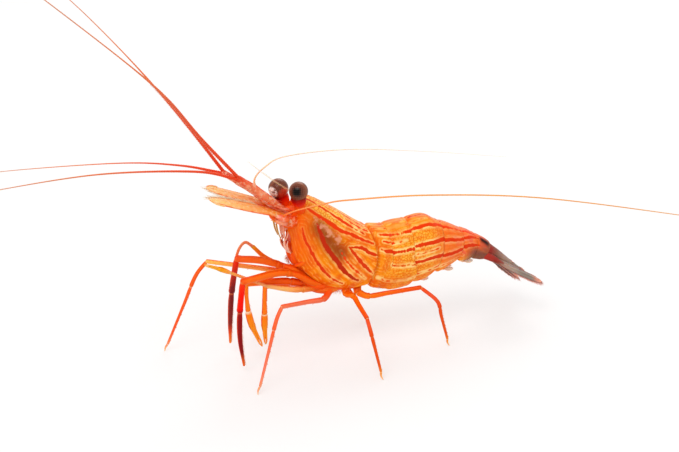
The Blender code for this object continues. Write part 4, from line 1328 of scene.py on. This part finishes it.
clawLegs = {
    # x, y, z, width and height along each part
    "leg1_L": {"upper": [(-7.0, -2.1, 13.6, 1.2, 1.3), (-11.4, -2.2, 14.9, 1.15, 1.3),
                         (-17.5, -2.0, 15.4, 0.85, 0.9)],
               "lower": [(-17.5, -2.0, 15.3, 0.75, 0.75), (-17.5, -2.0, 12.8, 0.64, 0.70),
                         (-17.3, -2.0, 10.3, 0.72, 0.8)],
               "claw": [(-17.3, -2.0, 10.1, 1.05, 1.1), (-16.6, -2.0, 7.2, 1.1, 1.2),
                        (-14.9, -2.0, 3.0, 0.6, 0.6)]},
    "leg1_R": {"upper": [(-8.3, 1.7, 14.9, 1.15, 1.15), (-10.4, 1.9, 14.4, 1.0, 1.1),
                         (-12.8, 2.0, 13.8, 0.85, 0.9)],
               "lower": [(-12.8, 2.0, 13.7, 0.75, 0.75), (-13.0, 2.0, 10.2, 0.72, 0.78),
                         (-13.05, 2.0, 7.0, 0.8, 0.9)],
               "claw": [(-13.05, 2.0, 6.9, 1.05, 1.1), (-13.1, 2.0, 4.6, 1.12, 1.2),
                        (-12.9, 2.0, 1.0, 0.6, 0.6)]},
    "leg2_L": {"upper": [(-5.2, -2.6, 12.7, 1.2, 1.2), (-9.6, -3.2, 13.5, 0.95, 1.1),
                         (-14.2, -3.1, 14.9, 0.62, 0.66)],
               "lower": [(-14.2, -3.1, 14.9, 0.58, 0.6), (-17.1, -3.0, 16.5, 0.5, 0.52),
                         (-20.6, -3.0, 18.5, 0.5, 0.52)],
               "claw": [(-20.6, -3.0, 18.5, 0.6, 0.62), (-22.2, -3.0, 19.4, 0.85, 0.9),
                        (-25.0, -3.0, 20.7, 0.45, 0.45)]},
    "leg2_R": {"upper": [(-8.2, 2.9, 14.4, 1.0, 1.0), (-11.8, 4.1, 16.4, 0.8, 0.85),
                         (-14.2, 4.2, 19.0, 0.58, 0.62)],
               "lower": [(-14.2, 4.2, 19.0, 0.52, 0.54), (-15.5, 4.2, 20.0, 0.48, 0.5),
                         (-16.6, 4.15, 19.1, 0.46, 0.48), (-17.3, 4.1, 17.2, 0.46, 0.48),
                         (-17.9, 4.1, 14.3, 0.48, 0.5)],
               "claw": [(-17.9, 4.1, 14.2, 0.55, 0.56), (-18.1, 4.1, 12.7, 0.75, 0.8),
                        (-18.3, 4.1, 10.1, 0.4, 0.4)]},
    "rings": 22,           # short rings that the second pair's wrist is made of
    "ringSteps": 4,        # points along each ring
    "roots": {"leg1": [[(-7.6, 2.2, 14.0, 1.0, 1.1), (-5.6, 2.7, 13.4, 1.5, 1.3),
                        (-3.6, 2.6, 12.7, 1.4, 1.2)]],
              "leg2": [[(-6.0, 2.6, 12.6, 0.9, 1.0), (-4.0, 2.9, 12.2, 1.3, 1.2),
                        (-1.6, 2.7, 12.0, 1.4, 1.2)]]},
    "orangeSkin": {
        "stops": {0.0: "#F2600E", 0.3: "#F26A14", 0.5: "#FF8C1E", 0.66: "#FF8A1C", 0.74: "#FF8A10",
                  0.9: "#FF9A18", 1.0: "#F49A40"},
        "line": "#E8500A", "joint": "#FFE0B8", "lineAmount": 0.8,
    },
    "goldSkin": {
        "stops": {0.0: "#F2600E", 0.12: "#F68A30", 0.3: "#FFC070", 0.5: "#F8B478", 0.7: "#F7B060",
                  0.85: "#FFA614", 1.0: "#FFC050"},
        "line": "#EE6A20", "joint": "#FFE2B0", "clear": 0.12, "lineAmount": 0.8,
    },
    "honeySkin": {
        "stops": {0.0: "#F2600E", 0.15: "#F08030", 0.36: "#EE8A30", 0.44: "#E8A418", 0.5: "#E69468",
                  0.7: "#EE8A5C", 0.85: "#F08A30", 1.0: "#FFB050"},
        "line": "#E8701C", "joint": "#FFE2B0", "lineAmount": 0.7,
    },
}


def makeClawLegs(brush):
    # Orange chitin with a clear core: bright in the middle, deeper along both edges, gold at the pincers.
    stout = limbSurface("orangeClawChitin", **clawLegs["orangeSkin"])
    slim = limbSurface("goldClawChitin", **clawLegs["goldSkin"])
    arched = limbSurface("honeyClawChitin", **clawLegs["honeySkin"])
    skins = {"leg1_L": stout, "leg1_R": stout, "leg2_L": slim, "leg2_R": arched}
    for name, skin in skins.items():
        parts = clawLegs[name]
        shape = newShape()
        addRoots(shape, clawLegs["roots"][name[:4]], -1 if name.endswith("L") else 1)
        addSegments(shape, parts["upper"], [0.0, 0.3, 1.0], [0.03, 0.15, 0.45])
        if name.startswith("leg1"):
            addSegments(shape, parts["lower"], [0.0, 1.0], [0.5, 0.64])
            addSpines(brush, parts["lower"], np.linspace(0.75, 0.99, 14), 0.5, (0.9, 0.2, 0))
        else:
            steps = clawLegs["ringSteps"]
            t = np.linspace(0, 1, clawLegs["rings"] * steps + 1)
            saw = 0.88 + 0.24 * (np.arange(len(t)) % steps) / (steps - 1)
            addTube(shape, parts["lower"], count=len(t), sides=limbs["sides"], sleeve=(t, saw),
                    marked=(0.5, 0.72), cap=0.4)
        addPincer(shape, parts["claw"], (0.74, 1.0))
        makePiece(shape, f"clawLeg{name[3]}{name[-1]}", skin, "claw_leg", f"{name}_upper", f"{name}_lower")
        for place in np.linspace(0.1, 0.55, 12):
            addSpines(brush, parts["claw"], [place], 0.35, (0.7, chance.uniform(-1, 1), -0.3))


mouthLegs = {
    # x, y, z, width and height along each part
    "L": {"upper": [(-9.0, -2.4, 16.0, 1.3, 1.2), (-12.6, -3.3, 17.1, 1.35, 1.25),
                    (-19.0, -4.7, 17.3, 1.1, 1.15)],
          "lower": [(-19.0, -4.7, 17.2, 1.05, 1.05), (-19.6, -4.7, 11.9, 1.0, 1.0),
                    (-19.7, -4.7, 6.7, 0.85, 0.85), (-19.1, -4.7, 1.5, 0.35, 0.35)]},
    "R": {"upper": [(-8.8, 1.6, 15.2, 1.3, 1.2), (-12.9, 2.3, 16.9, 1.35, 1.25),
                    (-17.6, 2.8, 17.9, 1.1, 1.15)],
          "lower": [(-17.6, 2.8, 17.8, 1.05, 1.05), (-18.6, 2.8, 11.8, 1.0, 1.0),
                    (-19.0, 2.8, 6.5, 0.85, 0.85), (-19.1, 2.8, 2.1, 0.35, 0.35)]},
    "knee": 0.33,          # share of the hanging length at which its two segments meet
    "brush": 46,           # rows of bristles on the last segment
    "roots": [[(-10.6, 1.9, 17.4, 0.9, 0.9), (-9.2, 2.2, 16.8, 1.4, 1.2), (-7.2, 2.4, 15.0, 1.5, 1.3),
               (-4.9, 2.4, 13.3, 1.3, 1.1)],
              [(-10.2, 2.7, 16.7, 1.1, 1.0), (-8.4, 2.9, 15.8, 1.4, 1.2), (-6.4, 2.9, 14.3, 1.4, 1.2),
               (-4.4, 2.8, 13.3, 1.2, 1.0)],
              [(-8.9, 2.5, 17.5, 0.5, 0.6), (-8.0, 2.8, 17.9, 1.0, 1.0), (-6.8, 3.1, 18.8, 0.9, 0.7)]],
    "scarletSkin": {
        "stops": {0.0: "#EE680C", 0.2: "#F0700C", 0.42: "#F2741C", 0.5: "#F03A08", 0.56: "#F81A00",
                  0.67: "#F01000", 0.70: "#9A0A10", 0.92: "#8A0E12", 0.98: "#E0661A"},
        "line": "#E04400", "joint": "#F08A50",
    },
    "wineSkin": {
        "stops": {0.0: "#EC5E10", 0.2: "#F47A20", 0.42: "#F4702A", 0.5: "#E8340E", 0.58: "#B83420",
                  0.66: "#80282A", 0.86: "#8A2E28", 0.92: "#D84C1C", 1.0: "#F08A2C"},
        "line": "#D84410", "joint": "#F08A50",
    },
}


def makeMouthLegs(brush):
    # Thick, deeply pigmented chitin: orange to the knee, scarlet below it and wine-dark on the last segment.
    surfaces = {
        "L": limbSurface("scarletMouthLegChitin", **mouthLegs["scarletSkin"]),
        "R": limbSurface("wineMouthLegChitin", **mouthLegs["wineSkin"]),
    }
    for side, sign in (("L", -1), ("R", 1)):
        parts = mouthLegs[side]
        shape = newShape()
        roots = mouthLegs["roots"]
        if side == "R":
            roots = [path[2:] for path in roots[:2]]
        addRoots(shape, roots, sign)
        addSegments(shape, parts["upper"], [0.0, 0.22, 1.0], [0.02, 0.12, 0.45])
        addSegments(shape, parts["lower"], [0.0, mouthLegs["knee"], 1.0], [0.49, 0.69, 1.0])
        whip = [(x, y, z + 0.62, size, size) for (x, y, z), size in
                zip(curveAt(parts["upper"], [0.2, 0.45, 0.7, 0.85])[:, :3], (0.34, 0.28, 0.2, 0.08))]
        addTube(shape, whip, count=24, sides=10, marked=(0.1, 0.3))
        makePiece(shape, f"mouthLeg{side}", surfaces[side], "mouth_leg",
                  f"maxilliped_{side}_upper", f"maxilliped_{side}_lower")
        for place in np.linspace(0.5, 0.98, mouthLegs["brush"]):
            for turn in (-0.7, 0.0, 0.7):
                addSpines(brush, parts["lower"], [place], 0.42, (math.cos(turn), math.sin(turn), -0.2))


# Mouth

mouth = {
    # biting plates, upper lip and slim feelers of the mouth
    "plates": [[(-10.1, 0.8, 21.9), (-10.3, 0.9, 21.2), (-10.0, 0.9, 20.2), (-9.4, 0.7, 19.2)],
               [(-9.7, 1.1, 21.6), (-9.9, 1.2, 20.8), (-9.6, 1.1, 19.9), (-9.0, 0.9, 19.0)]],
    "lip": [(-9.4, 0, 24.2, 1.6, 1.4), (-10.0, 0, 23.6, 1.4, 1.0), (-10.2, 0, 23.0, 0.9, 0.6)],
    "wide": 0.8,
    "palps": {"gold": [[(-11.6, 0.7, 24.9, 0.3, 0.3), (-11.35, 0.7, 23.5, 0.26, 0.26),
                        (-10.9, 0.7, 22.2, 0.12, 0.12)]],
              "rose": [[(-10.4, 0.8, 24.4, 0.42, 0.42), (-10.3, 0.8, 22.9, 0.34, 0.34),
                        (-10.1, 0.8, 21.6, 0.24, 0.24)],
                       [(-9.5, 0.9, 23.6, 0.4, 0.36), (-9.7, 0.9, 22.5, 0.32, 0.3),
                        (-10.0, 0.8, 21.6, 0.2, 0.2)]]},
    "skin": {
        "stops": {0.0: "#F6A078", 0.3: "#FFC8B0", 0.6: "#EFA050", 0.8: "#C8A030", 1.0: "#B89A3A"},
        "line": "#EE7A44", "joint": "#F7C0A0", "clear": 0.1,
    },
}


def makeMouth(brush):
    # Soft, thinly shelled mouthparts: rosy flesh shows through, olive-gold along the slim palps.
    surface = limbSurface("rosyMouthChitin", **mouth["skin"])
    shape = newShape()
    for sign in (-1, 1):
        for path in mouth["plates"]:
            outer = addLeaf(shape, mirrored(path, sign), mouth["wide"], (tail["oval"], tail["oval"]), 0.22,
                            (-0.35 * sign, -1, 0), camber=0.25, count=30, columns=14, values={"share": 0.3})
            addFringe(brush, outer, 0.4, 0.45, every=2)
        for kind, marked in (("gold", (0.75, 1.0)), ("rose", (0.05, 0.3))):
            for path in mouth["palps"][kind]:
                addTube(shape, mirrored(path, sign), count=24, sides=10, marked=marked)
    addTube(shape, mouth["lip"], count=10, sides=20, marked=(0.25, 0.3))
    makePiece(shape, "mouthPalps", surface, "mouth_leg", "mouthparts")


chestBrush = {
    "line": [(-9.0, 1.7, 17.4), (-8.0, 2.0, 15.4), (-6.2, 2.2, 13.4), (-3.6, 2.3, 11.9), (-0.4, 2.4, 11.2)],
    "count": 170,
    "length": 0.75,
}


def addChestBrush(roots):
    # bristles of the limb roots, along the edge of the carapace
    for place in np.linspace(0, 1, chestBrush["count"]):
        here = curveAt(chestBrush["line"], [place])[0]
        for sign in (-1, 1):
            spot = here * (1, sign, 1) + (0, chance.uniform(-0.5, 0.5), chance.uniform(-0.1, 0.3))
            way = (-0.5 + chance.uniform(-0.3, 0.3), 0.25 * sign, -0.8)
            roots.append((spot, way, chestBrush["length"]))


# Swimmerets

swimmerets = {
    "out": 1.9,            # how far the first pair stands from the middle
    "blade": ([0, 0.2, 0.5, 0.8, 0.95, 1.0], [0.35, 0.75, 1.0, 0.8, 0.45, 0.15]),
    "fringe": 0.4,
    "skin": {
        "stops": {0.0: "#FFB060", 0.4: "#FFDCB4", 1.0: "#FFF0E0"},
        "line": "#FFC080", "joint": "#FBE4D0", "clear": 0.45, "lineAmount": 0.6,
    },
}


def makeSwimmerets(fringe):
    # Thin clear chitin, milk-white to straw, folded back against the belly.
    surface = limbSurface("clearPaddleChitin", **swimmerets["skin"])
    ribs = [abdomen["ribs"][k] for k in abdomen["cuts"]]
    blade = swimmerets["blade"]
    for number in range(5):
        front, rear = ribs[number:number + 2]
        x = (front[2] + rear[2]) / 2
        under = (front[3] + rear[3]) / 2 + 0.1 * (rear[1] - rear[3]) + 0.1
        out = swimmerets["out"] - 0.25 * number
        shape = newShape()
        for sign in (-1, 1):
            stem = [(x - 0.2, out - 0.5, under + 0.4, 0.9, 0.9), (x + 0.3, out - 0.1, under - 0.3, 0.8, 0.8),
                    (x + 0.9, out, under - 0.75, 0.6, 0.6)]
            addTube(shape, mirrored(stem, sign), count=10, marked=(0.0, 0.2))
            for wide, spread, drop in ((1.15, 0.25, 0.0), (0.85, -0.45, 0.25)):
                low = under - 0.85 + drop
                path = [(x + 0.7, out, low + 0.25), (x + 1.6, out + spread * 0.6, low),
                        (x + 2.7, out + spread, low)]
                outer = addLeaf(shape, mirrored(path, sign), wide, (blade, blade), 0.14, (0, 1, 0.2),
                                camber=0.1, count=20, columns=10)
                addFringe(fringe, outer, 0.5, swimmerets["fringe"], every=4)
        makePiece(shape, f"swimmeretPair{number + 1}", surface, "swimmeret", f"swimmeret_{number + 1}")


makeEyes()
print("eyes done")

bristleNodes = bristleTree()
feelerNodes = feelerTree()
paleFringe = []
roseFringe = []
combRoots = []
limbBrush = []
legSpines = []
makeScales(paleFringe)
makeTail(roseFringe)
makeFeelers(combRoots)
print("feelers, scales and tail done")
makeWalkingLegs(legSpines)
makeClawLegs(limbBrush)
makeMouthLegs(limbBrush)
makeMouth(limbBrush)
addChestBrush(limbBrush)
makeSwimmerets(paleFringe)
print("limbs done")
strawBristle = bristleSurface("strawBristleChitin", bristles["straw"])
roseBristle = bristleSurface("roseBristleChitin", bristles["rose"])
orangeBristle = bristleSurface("orangeBristleChitin", bristles["orange"])
growBristles("paleFringe", paleFringe, strawBristle)
growBristles("tailFringe", roseFringe, roseBristle)
growBristles("feelerCombs", combRoots, roseBristle)
growBristles("limbBrush", limbBrush, orangeBristle)
growBristles("legSpines", legSpines, orangeBristle)
print("bristles done")


# Studio

studio = {
    "azimuth": -21,        # degrees round the animal: 0 looks along +Y
    "elevation": 25,
    "lens": 100,
    "distance": 320.6,     # mm from the point that the camera looks at
    "aim": (0.0, 0.0, 22.3),
    "floor": "#B4B3B3",
    "floorPale": "#B9B7B6",
    "floorGlow": 0.78,
    "floorCloud": 1000 / 6,    # size in mm of its faint unevenness
    "floorReach": 6.0,     # metres from the middle to the edge
    "floorDrop": 0.02,     # mm below the toes
    "sky": "#FFFFFF",
    "skyStrength": 0.74,
    "lamps": [("keyLamp", (-160, -150, 330), 0.25, 0.42), ("rearLamp", (170, 240, 260), 0.25, 0.30)],
}


def makeStudio():
    scene = bpy.context.scene
    scene.view_settings.view_transform = "Standard"
    scene.view_settings.look = "Medium High Contrast"
    aim = np.array(studio["aim"]) * mm + shift
    turn = math.radians(studio["azimuth"])
    tilt = math.radians(studio["elevation"])
    back = Vector((math.sin(turn) * math.cos(tilt), -math.cos(turn) * math.cos(tilt), math.sin(tilt)))
    lens = bpy.data.cameras.new("camera")
    lens.lens = studio["lens"]
    lens.sensor_width = 36
    lens.clip_start = 0.01
    lens.clip_end = 30
    camera = bpy.data.objects.new("camera", lens)
    scene.collection.objects.link(camera)
    camera.location = Vector(aim) + back * studio["distance"] * mm
    camera.rotation_mode = "QUATERNION"
    camera.rotation_quaternion = (-back).to_track_quat("-Z", "Y")
    scene.camera = camera
    for name, place, size, power in studio["lamps"]:
        lamp = bpy.data.lights.new(name, "AREA")
        lamp.shape = "DISK"
        lamp.size = size
        lamp.energy = power
        stand = bpy.data.objects.new(name, lamp)
        scene.collection.objects.link(stand)
        stand.location = Vector(np.array(place) * mm + shift)
        stand.rotation_mode = "QUATERNION"
        stand.rotation_quaternion = (stand.location - Vector(aim)).to_track_quat("Z", "Y")
    world = bpy.data.worlds.new("softWhiteRoom")
    scene.world = world
    world.use_nodes = True
    sky = world.node_tree.nodes["Background"]
    sky.inputs["Color"].default_value = linear(studio["sky"])
    sky.inputs["Strength"].default_value = studio["skyStrength"]


def makeFloor():
    # Opal acrylic sheet, cast and lit from below as on a light table: an even pale glow with only faint
    # shadows.
    surface, tree, shader = newSurface("backlitOpalAcrylic", {"Roughness": 0.7, "Specular IOR Level": 0.1,
                                                              "Emission Strength": studio["floorGlow"]})
    cloud = noiseOf(tree, placeOn(tree), studio["floorCloud"])
    tone = layOver(tree, studio["floor"], studio["floorPale"], cloud)
    feed(tree, shader, {"Base Color": tone, "Emission Color": tone})
    mesh = bpy.data.meshes.new("floor")
    reach = studio["floorReach"]
    low = -studio["floorDrop"] * mm
    corners = [(-reach, -reach, low), (reach, -reach, low), (reach, reach, low), (-reach, reach, low)]
    mesh.from_pydata(corners, [], [(0, 1, 2, 3)])
    mesh.materials.append(surface)
    floor = bpy.data.objects.new("floor", mesh)
    bpy.context.scene.collection.objects.link(floor)


makeStudio()
makeFloor()
print("studio done")
